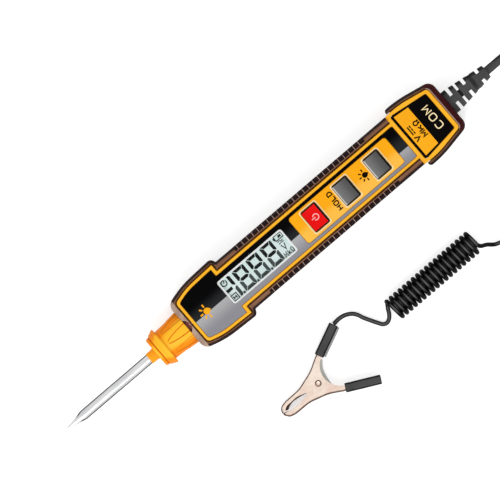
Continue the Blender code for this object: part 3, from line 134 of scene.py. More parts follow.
class Finish:
    """A material. Its shader takes constants, colours and sums of Values."""

    def __init__(self, name, specular=0.5, metallic=0.0):
        self.material = bpy.data.materials.new(name)
        self.material.use_nodes = True
        self.tree = self.material.node_tree
        self.shader = self.tree.nodes["Principled BSDF"]
        self.place = self.node("TexCoord", output="Object")
        self.set("Specular IOR Level", specular)
        self.set("Metallic", metallic)

    def feed(self, socket, value):
        if isinstance(value, Value):
            self.tree.links.new(value.socket, socket)
        else:
            socket.default_value = value

    def node(self, kind, settings=None, values=None, output=0):
        """Adds a node. Its settings come first, then the values or links of its sockets."""
        made = self.tree.nodes.new("ShaderNode" + kind)
        for name, value in (settings or {}).items():
            setattr(made, name, value)
        for name, value in (values or {}).items():
            self.feed(made.inputs[name], value)
        return Value(self, made.outputs[output])

    def set(self, socket, value):
        self.feed(self.shader.inputs[socket], value)

    def axis(self, letter, source=None):
        return self.node("SeparateXYZ", None, {0: source or self.place}, letter)

    def noise(self, scale, detail=3.0, roughness=0.5, stretch=None):
        """Cloudy value round 0.5. Scale is in features per metre."""
        place = self.place
        if stretch is not None:
            place = self.node("Mapping", {"vector_type": "POINT"}, {"Vector": place, "Scale": stretch})
        values = {"Vector": place, "Scale": scale, "Detail": detail, "Roughness": roughness}
        return self.node("TexNoise", None, values)

    def drift(self, scale, reach):
        """Cloudy shift round 0, over a range of about reach."""
        return (self.noise(scale) - 0.5) * reach

    def rise(self, value, low, high):
        """Smooth step from 0 at low to 1 at high."""
        settings = {"interpolation_type": "SMOOTHSTEP"}
        return self.node("MapRange", settings, {"Value": value, "From Min": low, "From Max": high})

    def mix(self, factor, first, second):
        """Blend of two colours, each a Value or 8-bit screen values."""
        pair = [shade if isinstance(shade, Value) else colour(*shade) for shade in (first, second)]
        return self.node("Mix", {"data_type": "RGBA"}, {0: factor, 6: pair[0], 7: pair[1]}, 2)

    def tone(self, base, shade, grain=2600.0):
        """Cloudy mix of two colours with fine grain, and the grain itself."""
        fine = self.noise(grain, 2.0)
        cloud = self.noise(90.0, 4.0)
        return self.mix(self.rise(cloud * 0.5 + fine * 0.5, 0.3, 0.7), shade, base), fine

    def bump(self, height, strength, distance):
        normal = self.node("Bump", None, {"Height": height, "Strength": strength, "Distance": distance})
        self.set("Normal", normal)

    def surface(self, shade, grain, rough, swing=0.16, strength=0.35, depth=0.00003, cloud=420.0):
        """Colour, uneven gloss and fine bump of a moulded or printed surface."""
        self.set("Base Color", shade)
        self.set("Roughness", rough + self.drift(cloud, swing))
        self.bump(grain, strength, depth)
        return self


def moulded(name, base, shade, rough, specular=0.25):
    """Moulded plastic or rubber: cloudy tone, fine spark-eroded grain and uneven gloss."""
    finish = Finish(name, specular)
    return finish.surface(*finish.tone(base, shade), rough)


def brushed(name, rough, stretch, specular=0.5):
    """Metal with fine drawn or brushed lines and smudges, with the lines and clouds for its colour."""
    finish = Finish(name, specular, 1.0)
    lines = finish.noise(900.0, 3.0, 0.6, stretch)
    cloud = finish.noise(160.0, 4.0)
    finish.set("Roughness", rough + (lines - 0.5) * 0.18 + (cloud - 0.5) * 0.1)
    finish.bump(lines, 0.2, 0.00001)
    return finish, lines, cloud


def metal(name, base, shade, rough, stretch=BRUSHED):
    """Brushed metal with faint tarnish."""
    finish, lines, cloud = brushed(name, rough, stretch)
    finish.set("Base Color", finish.mix(finish.rise(cloud * 0.6 + lines * 0.4, 0.35, 0.65), shade, base))
    return finish


def probe_finish():
    """Drawn bright steel with a painted reflection: the dark line that a polished rod shows along each side."""
    finish, lines, _ = brushed("probe_steel", 0.3, ALONG, DULL)
    x, z = finish.axis("X"), finish.axis("Z")
    # Painted reflection: a dark band along each side of the rod, stopping short of the point
    dark = (1 - finish.rise(z, AXIS + 0.0012, AXIS + 0.0018)) * finish.rise(z, AXIS - 0.0012, AXIS - 0.0006)
    dark = dark * finish.rise(x, -0.1062, -0.1036)
    bright = finish.mix(finish.rise(lines, 0.35, 0.65), (226, 227, 229), (252, 252, 252))
    finish.set("Base Color", finish.mix(dark, bright, (22, 22, 24)))
    finish.set("Metallic", 1 - dark * 0.9)
    return finish


def rubber_finish():
    """Soft rubber: brown above, with painted shade near black down its flanks and a painted highlight pale across the
    front rim, maroon at the tail.
    """
    finish = Finish("brown_rubber", DULL)
    x, z = finish.axis("X"), finish.axis("Z")
    drift = finish.drift(300.0, 0.0006)
    # Painted shade: near black below this crown line, brown on it
    crown = finish.rise(z + drift, 0.0206, 0.0215)
    brown, fine = finish.tone((140, 100, 75), (114, 77, 57), 3400.0)
    dark, _ = finish.tone((40, 19, 18), (26, 11, 11), 3400.0)
    # Painted highlight: pale across the front rim
    front = finish.rise(-x + drift, 0.0389, 0.0394) * finish.rise(z, 0.0176, 0.0186)
    tail = finish.rise(x + drift, 0.1088, 0.1104) * finish.rise(z, 0.0155, 0.0190)
    shade = finish.mix(tail, finish.mix(crown, dark, brown), (58, 8, 11))
    painted_rim_highlight = finish.mix(finish.rise(finish.noise(240.0, 3.0), 0.35, 0.65), (156, 134, 120), (182, 158, 142))
    shade = finish.mix(front, shade, painted_rim_highlight)
    return finish.surface(shade, fine * 1.5, 0.6 - crown * 0.08, 0.2, 0.3, 0.00004, 350.0)


def well_finish():
    """Brown wall behind the lamp, with painted shade near black towards the corners of its notch."""
    finish = Finish("lamp_well", DULL)
    y = finish.axis("Y") + finish.drift(600.0, 0.0004)
    body, fine = finish.tone((164, 100, 94), (122, 70, 66))
    # Painted shade: near black towards the corners of the notch
    return finish.surface(finish.mix(finish.rise(y * y, 0.0000012, 0.0000075), body, (26, 10, 10)), fine, 0.6)


def nozzle_finish():
    """Bright orange plastic, with a painted highlight that makes it a little yellower along its crown."""
    finish = Finish("nozzle_orange", 0.12)
    z = finish.axis("Z") + finish.drift(200.0, 0.0006)
    flank, fine = finish.tone((255, 152, 6), (252, 138, 2), 1800.0)
    # Painted highlight: yellower along the crown
    shade = finish.mix(finish.rise(z, 0.0172, 0.0186), flank, (255, 188, 42))
    shade = finish.mix(finish.rise(-finish.axis("X"), 0.0597, 0.0600), shade, (252, 168, 26))
    return finish.surface(shade, fine, 0.36, 0.14, 0.3)


def key_finish():
    """Grey key cap, with painted shade making it darker towards its tail end and a painted highlight making a pale rim
    at its other end. It repeats from key to key.
    """
    finish = Finish("key_grey", 0.12)
    pitch = KEYS[2] - KEYS[1]
    dark = (74, 74, 75)
    limits = {0: finish.axis("X") - KEYS[1], 1: pitch / 2, 2: -pitch / 2}
    along = finish.node("Math", {"operation": "WRAP"}, limits)
    fine = finish.noise(2600.0, 2.0)
    # Painted shade: darker towards the tail end of each key
    body = finish.mix(finish.rise(along + finish.drift(200.0, 0.0006), -0.0062, 0.0044), (130, 130, 130), dark)
    body = finish.mix(finish.rise(fine, 0.35, 0.65) * 0.18, body, dark)
    # Painted highlight: pale rim at the front end of each key
    shade = finish.mix(finish.rise(-along, 0.0035, 0.0037), body, (212, 210, 209))
    return finish.surface(shade, fine, 0.42, 0.16, 0.3, 0.00002)


def sleeve_finish(name, top):
    """Grey black vinyl, with painted shade making it blacker where it turns down its long sides."""
    finish = Finish(name, DULL)
    body, fine = finish.tone((76, 76, 76), (62, 62, 62), 2200.0)
    # Painted shade: black where the sides turn down
    edge = finish.rise(finish.axis("Z") + finish.drift(500.0, 0.0002), top - 0.00022, top - 0.00006)
    return finish.surface(finish.mix(edge, (8, 8, 8), body), fine, 0.5)


def cord_finish():
    """Black vinyl, with a painted highlight that makes it greyer along the top of the cord and its turns."""
    finish = Finish("cord_black", DULL)
    up = finish.axis("Z", finish.node("TexCoord", output="Normal"))
    body, fine = finish.tone((92, 92, 93), (72, 72, 73), 1400.0)
    # Painted highlight: grey where the surface faces up, black elsewhere
    crown = finish.rise(up + finish.drift(700.0, 0.04), 0.78, 1.0)
    return finish.surface(finish.mix(crown, (3, 3, 3), body), fine, 0.4)


def relief_finish():
    """Grey black rubber, with painted shade making it blacker towards the ends of its ribs on the shaded side."""
    finish = Finish("relief_black", DULL)
    body, fine = finish.tone((82, 82, 83), (62, 62, 63), 2200.0)
    # Painted shade: blacker towards the rib ends on one side
    across = finish.axis("Y") + (finish.axis("X") - TAIL) * 0.11 + finish.drift(400.0, 0.0008)
    return finish.surface(finish.mix(finish.rise(across, 0.0036, 0.0051) * 0.9, body, (12, 12, 12)), fine, 0.55)


def panel_finish():
    """Glossy print with a painted reflection: black above a sharp line, pale lilac grey below it, fading towards the
    tester's edge.
    """
    finish = Finish("overlay_print_and_reflection", INKY)
    x, y = finish.axis("X"), finish.axis("Y")
    line = -0.00118 - finish.rise(x, 0.080, 0.0815) * 0.0016
    upper = finish.mix(finish.rise(y, -0.001, 0.0055), (38, 39, 41), (4, 4, 5))
    # Painted reflection: pale lilac grey below the line
    lower = finish.mix(finish.rise(-y, 0.001, 0.009), (170, 170, 171), (138, 137, 144))
    shade = finish.mix(finish.rise(line - y, -0.00004, 0.00004), upper, lower)
    return finish.surface(shade, finish.noise(1500.0, 2.0), 0.24, 0.1, 0.15, 0.00001, 500.0)


def field_finish():
    """Printed orange of the key field, with a painted reflection making it a little paler in its lower part."""
    finish = Finish("key_field_print_and_reflection", DULL)
    # Painted reflection: paler towards the lower part
    low = finish.rise(finish.drift(120.0, 0.002) - finish.axis("Y"), -0.001, 0.0035)
    shade = finish.mix(low, (252, 170, 8), (255, 190, 72))
    shade = finish.mix(finish.rise(finish.noise(2600.0), 0.3, 0.7) * 0.12, shade, (240, 160, 40))
    return finish.surface(shade, finish.noise(2600.0, 2.0), 0.4, 0.14, 0.25, 0.00002)


def display_finish():
    """Pale grey-green reflector of the display."""
    finish = Finish("display_face")
    shade = finish.mix(finish.rise(finish.noise(70.0, 2.0), 0.35, 0.65), (212, 232, 229), (224, 238, 236))
    return finish.surface(shade, finish.noise(4000.0, 1.0), 0.5, 0.2, 0.1, 0.00001, 900.0)


def lens_finish():
    finish = Finish("lens_clear", 0.3)
    finish.set("Base Color", colour(90, 98, 96))
    finish.set("Alpha", 0.03)
    finish.set("Roughness", 0.04 + finish.noise(300.0) * 0.05)
    return finish


finishes = {
    "orange": moulded("orange_plastic", (255, 188, 50), (250, 174, 30), 0.38, DULL),
    "nozzle": nozzle_finish(),
    "nozzle_line": moulded("nozzle_line", (226, 122, 2), (208, 106, 0), 0.5, DULL),
    "rubber": rubber_finish(),
    # Painted shade in the pockets between the grip's ridges
    "pocket": moulded("pocket_painted_shade", (40, 20, 19), (28, 13, 13), 0.75, DULL),
    # Painted shade along the boot's edge next to the border
    "boot_line": moulded("boot_line", (60, 24, 8), (42, 16, 6), 0.7, DULL),
    # Painted highlight on the ridge tops and the tail rim
    "ridge": moulded("ridge_painted_highlight", (178, 150, 142), (146, 120, 112), 0.6),
    "well": well_finish(),
    "panel": panel_finish(),
    "label": moulded("label_print", (10, 7, 7), (5, 4, 4), 0.3, INKY),
    "field": field_finish(),
    "orange_print": moulded("orange_print", (252, 176, 24), (246, 166, 16), 0.4, DULL),
    "ink": moulded("black_ink", (16, 9, 5), (10, 6, 3), 0.5, INKY),
    "cream": moulded("cream_print", (255, 236, 190), (252, 228, 174), 0.45, DULL),
    "pink_print": moulded("pale_print", (255, 190, 188), (250, 172, 170), 0.5),
    "segment": moulded("segment_black", (10, 12, 12), (6, 8, 8), 0.5, DULL),
    "segment_pale": moulded("segment_grey", (72, 80, 80), (54, 62, 62), 0.5, DULL),
    "glass": display_finish(),
    "white": moulded("display_white", (250, 253, 252), (243, 248, 246), 0.45),
    "strip": moulded("strip_rubber", (66, 66, 68), (44, 44, 46), 0.7),
    "red": moulded("key_red", (236, 8, 7), (222, 4, 4), 0.42, DULL),
    "grey": key_finish(),
    "key_edge": moulded("key_edge", (18, 14, 14), (10, 8, 8), 0.6, DULL),
    "black": cord_finish(),
    "relief": relief_finish(),
    "sleeve": sleeve_finish("sleeve_black", CLIP.z + 0.0043),
    "sleeve_low": sleeve_finish("sleeve_black_low", CLIP.z + 0.0035),
    "side_highlight": moulded("sleeve_side_highlight", (180, 180, 180), (156, 156, 157), 0.6, DULL),
    "board": moulded("board_green", (28, 96, 52), (18, 76, 40), 0.4),
    "chip": moulded("chip_black", (32, 32, 34), (22, 22, 24), 0.5),
    "steel": probe_finish(),
    "plated": metal("plated_steel", (206, 206, 204), (176, 176, 174), 0.3, (1.0, 1.0, 0.2)),
    "brass": metal("brass", (212, 172, 96), (188, 144, 70), 0.3, (1.0, 0.2, 1.0)),
    "copper": metal("clip_copper", (255, 238, 222), (250, 222, 206), 0.34),
    "copper_edge": metal("clip_edge_shade", (122, 100, 90), (96, 78, 70), 0.5),
    "lip": metal("handle_lip", (236, 239, 233), (212, 216, 210), 0.5),
    "copper_dark": metal("copper_shaded", (126, 104, 92), (98, 78, 68), 0.5),
    "cell": moulded("cell_wrap", (56, 88, 132), (44, 72, 112), 0.4),
    "lamp": moulded("lamp_clear", (226, 172, 162), (196, 142, 134), 0.2),
    "lens": lens_finish(),
}

KEPT_NODES = {
    "orange": ("rear_shell",),
    "glass": ("display_glass",),
    "white": ("display_backlight",),
    "strip": ("contact_strip_1", "contact_strip_2"),
    "black": ("inner_wire",),
    "board": ("circuit_board",),
    "chip": ("measuring_chip", "buzzer", "power_switch", "hold_switch", "light_switch"),
    "plated": ("battery_spring", "link_spring", "link_plate", "positive_plate", "negative_plate"),
    "brass": ("probe_contact", "probe_ferrule"),
    "cell": ("battery_1", "battery_2"),
}


def paint_kept_nodes():
    for key, names in KEPT_NODES.items():
        for name in names:
            slots = nodes[name].material_slots
            for slot in slots:
                slot.material = finishes[key].material
            if not slots:
                nodes[name].data.materials.append(finishes[key].material)


# Shapes

def added(name, data, *keys):
    """Object in the scene, with finishes for its material slots."""
    obj = bpy.data.objects.new(name, data)
    bpy.context.scene.collection.objects.link(obj)
    for key in keys:
        data.materials.append(finishes[key].material)
    return obj


def weld(bm):
    """Joins points that lie on each other."""
    bmesh.ops.remove_doubles(bm, verts=bm.verts, dist=1e-7)


def mesh_of(name, bm):
    bmesh.ops.recalc_face_normals(bm, faces=bm.faces)
    mesh = bpy.data.meshes.new(name)
    bm.to_mesh(mesh)
    bm.free()
    return mesh


def piece(name, bm, keys, body="tester", stands_for=(), sharp=34):
    """Piece from a mesh, with finishes named in keys and smooth shading up to the sharp angle in degrees."""
    weld(bm)
    mesh = mesh_of(name, bm)
    mesh.shade_smooth()
    mesh.set_sharp_from_angle(angle=radians(sharp))
    obj = added(name, mesh, *keys.split())
    if body is not None:
        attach(obj, body)
    if stands_for:
        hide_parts(*stands_for)
    steady = obj.modifiers.new("steady_normals", "WEIGHTED_NORMAL")
    steady.keep_sharp = True
    steady.weight = 80
    return obj


def mark(bm, slot_of):
    """Material slot of every face, from its middle and its normal."""
    for face in bm.faces:
        face.material_index = int(slot_of(face.calc_center_median(), face.normal))


def carved(bm, cutters):
    """Mesh of a solid with other solids cut out of it."""
    target = added("blank", mesh_of("blank", bm))
    tools = [added("cutter", mesh_of("cutter", cutter)) for cutter in cutters]
    for tool in tools:
        modifier = target.modifiers.new("cut", "BOOLEAN")
        modifier.operation = "DIFFERENCE"
        modifier.solver = "EXACT"
        modifier.object = tool
    bpy.context.view_layer.update()
    made = bmesh.new()
    evaluated = target.evaluated_get(bpy.context.evaluated_depsgraph_get())
    made.from_mesh(evaluated.to_mesh())
    for obj in (target, *tools):
        bpy.data.objects.remove(obj)
    return made


def soften(obj, width, segments=2, angle=40):
    """Small rounding along every sharp edge."""
    modifier = obj.modifiers.new("rounding", "BEVEL")
    modifier.width = width
    modifier.segments = segments
    modifier.limit_method = "ANGLE"
    modifier.angle_limit = radians(angle)
    modifier.use_clamp_overlap = True
    obj.modifiers.move(len(obj.modifiers) - 1, 0)


def turns(count):
    return [2 * pi * index / count for index in range(count)]


def disc(radius, count, x=0.0):
    return [Vector((x + radius * cos(a), radius * sin(a))) for a in turns(count)]


def rounded(corners):
    """Outline through corners given as x, y, radius and steps."""
    points = []
    for index, (x, y, radius, steps) in enumerate(corners):
        corner = Vector((x, y))
        if steps == 0:
            points.append(corner)
            continue
        back = (Vector(corners[index - 1][:2]) - corner).normalized()
        ahead = (Vector(corners[(index + 1) % len(corners)][:2]) - corner).normalized()
        half = back.angle(ahead) / 2
        centre = corner + (back + ahead).normalized() * (radius / sin(half))
        start = corner + back * (radius / tan(half)) - centre
        stop = corner + ahead * (radius / tan(half)) - centre
        first = atan2(start.y, start.x)
        sweep = atan2(start.x * stop.y - start.y * stop.x, start.dot(stop))
        for step in range(steps + 1):
            angle = first + sweep * step / steps
            points.append(centre + Vector((cos(angle), sin(angle))) * radius)
    return points


def offset(corners, margins):
    """Moves each edge of a counter-clockwise outline inwards by its own margin. Edge i runs from corner i on."""
    count = len(corners)
    normals = []
    for index in range(count):
        along = Vector(corners[(index + 1) % count][:2]) - Vector(corners[index][:2])
        normals.append(Vector((-along.y, along.x)).normalized())
    moved = []
    for index, (x, y, radius, steps) in enumerate(corners):
        before, after = normals[index - 1], normals[index]
        turn = before.x * after.y - before.y * after.x
        near, far = margins[index - 1], margins[index]
        if abs(turn) < 1e-4:
            shift = after * far
        else:
            shift = Vector((near * after.y - far * before.y, far * before.x - near * after.x)) / turn
        size = max(radius - (near + far) / 2, 0.00025) if turn > 0 and radius > 0 else radius
        moved.append((x + shift.x, y + shift.y, size, steps))
    return moved


def mirrored(half, margins):
    """Closed outline from the corners of its +Y half; margins start at the front edge and end at the back edge."""
    low = [(x, -y, radius, steps) for x, y, radius, steps in half]
    edges = [*margins[1:-1], margins[-1], *reversed(margins[1:-1]), margins[0]]
    return rounded(offset(low + half[::-1], edges))


def rectangle(x_low, x_high, y_low, y_high, radius=0.0, steps=0):
    corners = ((x_low, y_low), (x_high, y_low), (x_high, y_high), (x_low, y_high))
    return rounded([(x, y, radius, steps) for x, y in corners])


def shrinking(x_low, x_high, y_low, y_high, radius=0.0, steps=0):
    """Rectangle that shrinks by the margin that it is drawn for."""
    def outline(margin):
        return rectangle(x_low + margin, x_high - margin, y_low + margin, y_high - margin, radius - margin, steps)
    return outline


def flat(outline, height):
    return [(point.x, point.y, height) for point in outline]


def add_skin(bm, rows, around=True, across=False, caps=False):
    """Faces between rows of points. Around closes each row, across joins the last row to the first."""
    made = [[bm.verts.new(point) for point in row] for row in rows]
    pairs = list(zip(made, made[1:]))
    if across:
        pairs.append((made[-1], made[0]))
    for low, high in pairs:
        for index in range(len(low) if around else len(low) - 1):
            after = (index + 1) % len(low)
            bm.faces.new((low[index], low[after], high[after], high[index]))
    if caps and around:
        bm.faces.new(made[0][::-1])
        bm.faces.new(made[-1])
    elif caps:
        bm.faces.new([row[0] for row in made])
        bm.faces.new([row[-1] for row in made][::-1])
    return made


def rounding(edge, steps):
    """Rows of a rounded edge from the side to the top, as drops from the top and insets from the side."""
    angles = [pi / 2 * step / steps for step in range(steps + 1)]
    return [(edge * (1 - sin(a)), edge * (1 - cos(a))) for a in angles]


def add_prism(bm, outline, low, high):
    add_skin(bm, [flat(outline, low), flat(outline, high)], caps=True)


def prism(outline, low, high):
    bm = bmesh.new()
    add_prism(bm, outline, low, high)
    return bm


def add_block(bm, outline, low, high, edge, steps, place=None, both=False):
    """Solid between two heights with a rounded top edge, and bottom edge if both. Outline takes a margin."""
    rows = []
    if both:
        rows += [(low + drop, outline(inset)) for drop, inset in rounding(edge, steps)[::-1]]
    else:
        rows.append((low, outline(0)))
    rows += [(high - drop, outline(inset)) for drop, inset in rounding(edge, steps)]
    made = add_skin(bm, [flat(ring, height) for height, ring in rows], caps=True)
    if place is not None:
        bmesh.ops.transform(bm, matrix=place, verts=[vert for row in made for vert in row])


def edge_loop(bm, verts):
    return [bm.edges.get((verts[index - 1], verts[index])) for index in range(len(verts))]


def fill_between(bm, *loops):
    for edges in loops:
        bmesh.ops.triangle_fill(bm, use_beauty=True, use_dissolve=False, edges=edges)


def add_plate(bm, outer, holes, low, high, edge, steps=3):
    """Plate with openings and rounded upper edges. Outlines are drawn for margins from 0 below to edge on top."""
    tops, bottoms = [], []
    for outline in (outer, *holes):
        rows = [flat(outline(0), low)]
        rows += [flat(outline(inset), high - drop) for drop, inset in rounding(edge, steps)]
        made = add_skin(bm, rows)
        tops += edge_loop(bm, made[-1])
        bottoms += edge_loop(bm, made[0])
    fill_between(bm, tops, bottoms)


def add_turned(bm, profile, segments, place):
    """Turns a profile of places along X and radii round the X axis, then places it."""
    rows = [[(along, radius * cos(a), radius * sin(a)) for a in turns(segments)] for along, radius in profile]
    made = add_skin(bm, rows, caps=True)
    bmesh.ops.transform(bm, matrix=place, verts=[vert for row in made for vert in row])


def add_tube(bm, points, radius, segments):
    """Round wire along points, closed at both ends."""
    rows = []
    side = Vector((0, 0, 1))
    for index, point in enumerate(points):
        ahead = (points[min(index + 1, len(points) - 1)] - points[max(index - 1, 0)]).normalized()
        side = (side - ahead * side.dot(ahead)).normalized()
        other = ahead.cross(side)
        rows.append([point + (side * cos(a) + other * sin(a)) * radius for a in turns(segments)])
    add_skin(bm, rows, caps=True)


def smooth_route(route, spacing):
    """Points along a smooth curve through chosen places, about one spacing apart."""
    places = [Vector(place) for place in route]
    ends = [2 * places[0] - places[1], *places, 2 * places[-1] - places[-2]]
    points = []
    for index in range(len(places) - 1):
        before, here, there, after = ends[index:index + 4]
        steps = max(1, ceil((there - here).length / spacing))
        for step in range(steps):
            t = step / steps
            a = 2 * here
            b = (there - before) * t
            c = (2 * before - 5 * here + 4 * there - after) * t ** 2
            d = (3 * here - before - 3 * there + after) * t ** 3
            points.append((a + b + c + d) / 2)
    points.append(places[-1])
    return points


# Housing outlines, as corners of their +Y half with a radius and steps each

BORDER_SOFT = 0.8
BORDER_FRONT = 0.0048
BORDER_STEP = 0.0003
BORDER_TAIL = 0.0046
# From the front edge to the end of the grip
BORDER_MARGINS = (0.00315, 0.0024, 0.0024, 0.0018, 0.00362)


def head_half(soft=1.0):
    return [
        (FRONT, 0.01283, 0.0043 * soft, 9),
        (FRONT + 0.0106, 0.01575, 0.046 * soft, 10),
        (STEP, HEAD_HALF, 0.0024 * soft, 7),
        (STEP + 0.0007, GRIP_HALF, 0.0007 * soft, 4),
    ]


def tail_half(soft=1.0):
    return [
        (TAIL_STEP, TAIL_HALF, 0.0014 * soft, 6),
        (TAIL - 0.01715, TAIL_HALF, 0.054 * soft, 10),
        (TAIL, 0.01305, 0.004 * soft, 9),
    ]


def border_half(front, step):
    """Head outline for the border: rounder in front and square at the step."""
    half = head_half(BORDER_SOFT)
    half[0] = (*half[0][:2], front, 9)
    half[2] = (STEP + step, HEAD_HALF, 0.0023, 7)
    half[3] = (STEP + step, GRIP_HALF, 0.0005, 4)
    return half


def border_tail():
    half = tail_half(BORDER_SOFT)
    half[2] = (*half[2][:2], BORDER_TAIL, 9)
    return half


def land_ring(margin):
    """Outer edge of the raised orange border."""
    half = [*border_half(BORDER_FRONT, BORDER_STEP), (TAIL_STEP, GRIP_HALF, 0.00024, 3), *border_tail()]
    margins = (*BORDER_MARGINS, -0.00085, 0.0024, 0.0024, 0.0033)
    return mirrored(half, [value + margin for value in margins])


def panel_ring(margin):
    """Field of the face overlay inside the border."""
    half = [*border_half(0.0055, 0.0001), (GRIP_END, GRIP_HALF, 0.0034, 6)]
    margins = [0.00443, 0.00368, 0.00368, 0.00308, 0.0049, 0.0]
    return mirrored(half, [value + margin for value in margins])


def label_ring(margin):
    wide = TAIL_HALF - 0.0037
    half = [(TAIL_STEP + 0.0001, wide, 0.0011, 5), (TAIL - 0.00513, wide - 0.0025, 0.0009, 5)]
    return mirrored(half, [margin] * 3)


def shell_ring(margin):
    half = [*head_half(), (TAIL_STEP, GRIP_HALF, 0.0003, 3), *tail_half()]
    return mirrored(half, [margin] * 9)


field_ring = shrinking(*FIELD, -FIELD_HALF, FIELD_HALF, 0.00135, 6)


def key_opening(x):
    """Opening for a key, smaller by its margin, so that its upper edge reaches in."""
    def ring(margin):
        length, width = KEY_HALF[0] + 0.0002 - margin, KEY_HALF[1] + 0.0002 - margin
        return rectangle(x - length, x + length, -width, width, 0.001 - margin / 2, 4)
    return ring


def window_opening(rim):
    def ring(margin):
        inset = rim + margin
        reach = WINDOW_HALF - inset
        return rectangle(WINDOW[0] + inset, WINDOW[1] - inset, -reach, reach, max(0.0009 - inset, 0.0004), 5)
    return ring


def grown(outline):
    """Turns an outline that shrinks by its margin into a hole that grows by it."""
    return lambda margin: outline(-margin)


# Rubber boots

RIDGE_FIRST = -0.000725
RIDGE_PITCH = 0.00299
RIDGES = 25
RIDGE_HALF = 0.00026
POCKET_DEPTH = 0.0005
POCKET_SLOPE = 0.00009
POCKET_REACH = 0.0023
FIRST_POCKET = 0.65
# Reach from the side and lowest height of the pale painted highlight on the ridges
RIDGE_REACH = 0.0024
RIDGE_LOW = 0.0175
# Stretch along the pen where the grip's sides have ridges
RIDGED = (-0.0022, 0.0738)
# Width of a boot's line of painted shade along the border, and where the line turns to pale painted highlight at the
# tail
BORDER_LINE = 0.00042
TAIL_RIM = 0.1098
# Heights of a boot's wall from its rounded edge down, and how far the pockets reach there
WALL_ROWS = ((0.0145, 1.0), (0.0112, 1.0), (0.008, 1.0), (0.0062, 1.0), (0.0058, 0.0), (0.0045, 0.0))
WINDOW_EDGE = 0.0003
FOOT_RADIUS = 0.003
BACK_EDGE = 0.0029
LINING = (0.0036, 0.0176)
NOTCH_DEPTH = 0.00225
NOTCH_HALF = 0.0034
NOTCH_RADIUS = (NOTCH_HALF ** 2 + NOTCH_DEPTH ** 2) / (2 * NOTCH_DEPTH)
NOTCH_CENTRE = FRONT + NOTCH_DEPTH - NOTCH_RADIUS
NOTCH_FLOOR = TOP - 0.0043


def notch_cutter():
    """Round cutter for the lamp's notch in the front of the head."""
    return prism(disc(NOTCH_RADIUS, 96, NOTCH_CENTRE), NOTCH_FLOOR, TOP + 0.004)


def inset_of(point, outline):
    """Distance from a point to an open outline."""
    best = 1.0
    for here, there in zip(outline, outline[1:]):
        near, share = intersect_point_line(point, here, there)
        near = Vector(here) if share < 0 else Vector(there) if share > 1 else near
        best = min(best, (Vector(point) - Vector(near[:2])).length)
    return best


def pocket_marks():
    """Places along the side where the pockets between the ridges start and end, with their depth share."""
    marks = []
    for index in range(-1, RIDGES):
        start = RIDGE_FIRST + index * RIDGE_PITCH + RIDGE_HALF
        stop = start + RIDGE_PITCH - 2 * RIDGE_HALF
        if index < 0:
            start += RIDGE_PITCH * (1 - FIRST_POCKET)
        marks += [(start - POCKET_SLOPE, 0.0), (start + POCKET_SLOPE, 1.0)]
        marks += [(stop - POCKET_SLOPE, 1.0), (stop + POCKET_SLOPE, 0.0)]
    return marks


def boot_rows(guide, outer, window, back, inner):
    """Rows round the wall of a boot, as pairs of points and of how far the pockets reach there."""
    rows = [([(*p, LAND_ROOT - GAP) for p in window], 0.0)]
    reach = [inset_of(p, guide) for p in window]
    turn = [acos(max(-1.0, 1 - m / ROUND)) for m in reach]
    crown = [TOP - ROUND * (1 - sin(a)) for a in turn]
    for drop, inset in rounding(WINDOW_EDGE, 3):
        points = [w.lerp(o, inset / m) for w, o, m in zip(window, outer, reach)]
        rows.append(([(*p, z - drop * 0.8) for p, z in zip(points, crown)], 0.0))
    count = 11
    for step in range(1, count + 1):
        row = []
        for w, o, m, a in zip(window, outer, reach, turn):
            angle = a * (1 - step / count)
            inset = ROUND * (1 - cos(angle))
            row.append((*w.lerp(o, max(WINDOW_EDGE / m, 1 - inset / m)), TOP - ROUND * (1 - sin(angle))))
        # The last point lies on a straight side, where the pockets are
        rows.append((row, float(inset < POCKET_REACH)))
    rows += [([(*p, height) for p in outer], depth) for height, depth in WALL_ROWS]
    reach = [inset_of(p, guide) for p in back]
    turn = [acos(max(-1.0, 1 - m / FOOT_RADIUS)) for m in reach]
    for step in range(7):
        row = []
        for b, o, m, a in zip(back, outer, reach, turn):
            angle = a * step / 6
            share = FOOT_RADIUS * (1 - cos(angle)) / m
            row.append((*o.lerp(b, share), BASE + FOOT_RADIUS * (1 - sin(angle))))
        rows.append((row, 0.0))
    rows.append(([(*p, BACK_EDGE) for p in back], 0.0))
    return rows + [([(*p, height) for p in inner], 0.0) for height in LINING]


def grip_path(soft, margins, border=False):
    """Open path from the end of the grip round its front, with margins from the front edge on."""
    head = border_half(BORDER_FRONT, BORDER_STEP) if border else head_half(soft)
    half = [*head, (GRIP_END, GRIP_HALF, 0.0, 0)]
    ring = mirrored(half, [*margins, 0.0])
    middle = len(ring) // 2
    return ring[middle:] + ring[:middle]


def lift_of(height):
    """Share of the housing's rounded upper edge that lies below a height."""
    return max(0.0, min(1.0, (height - ROUND_START) / ROUND))


def with_pockets(row, reach):
    """Adds points along both straight sides, sunk into the rubber where the pockets are."""
    def side(near, far):
        points = [near]
        for x, share in sorted(pocket_marks(), reverse=near[0] > far[0]):
            y, z = near[1], near[2]
            sink = POCKET_DEPTH * share * reach
            lift = lift_of(z)
            out = sqrt(max(0.0, 1 - lift * lift))
            points.append((x, y - sink * out * (1 if y > 0 else -1), z - sink * lift))
        return points
    return side(row[0], row[1]) + row[1:-1] + side(row[-1], row[-2])[::-1]


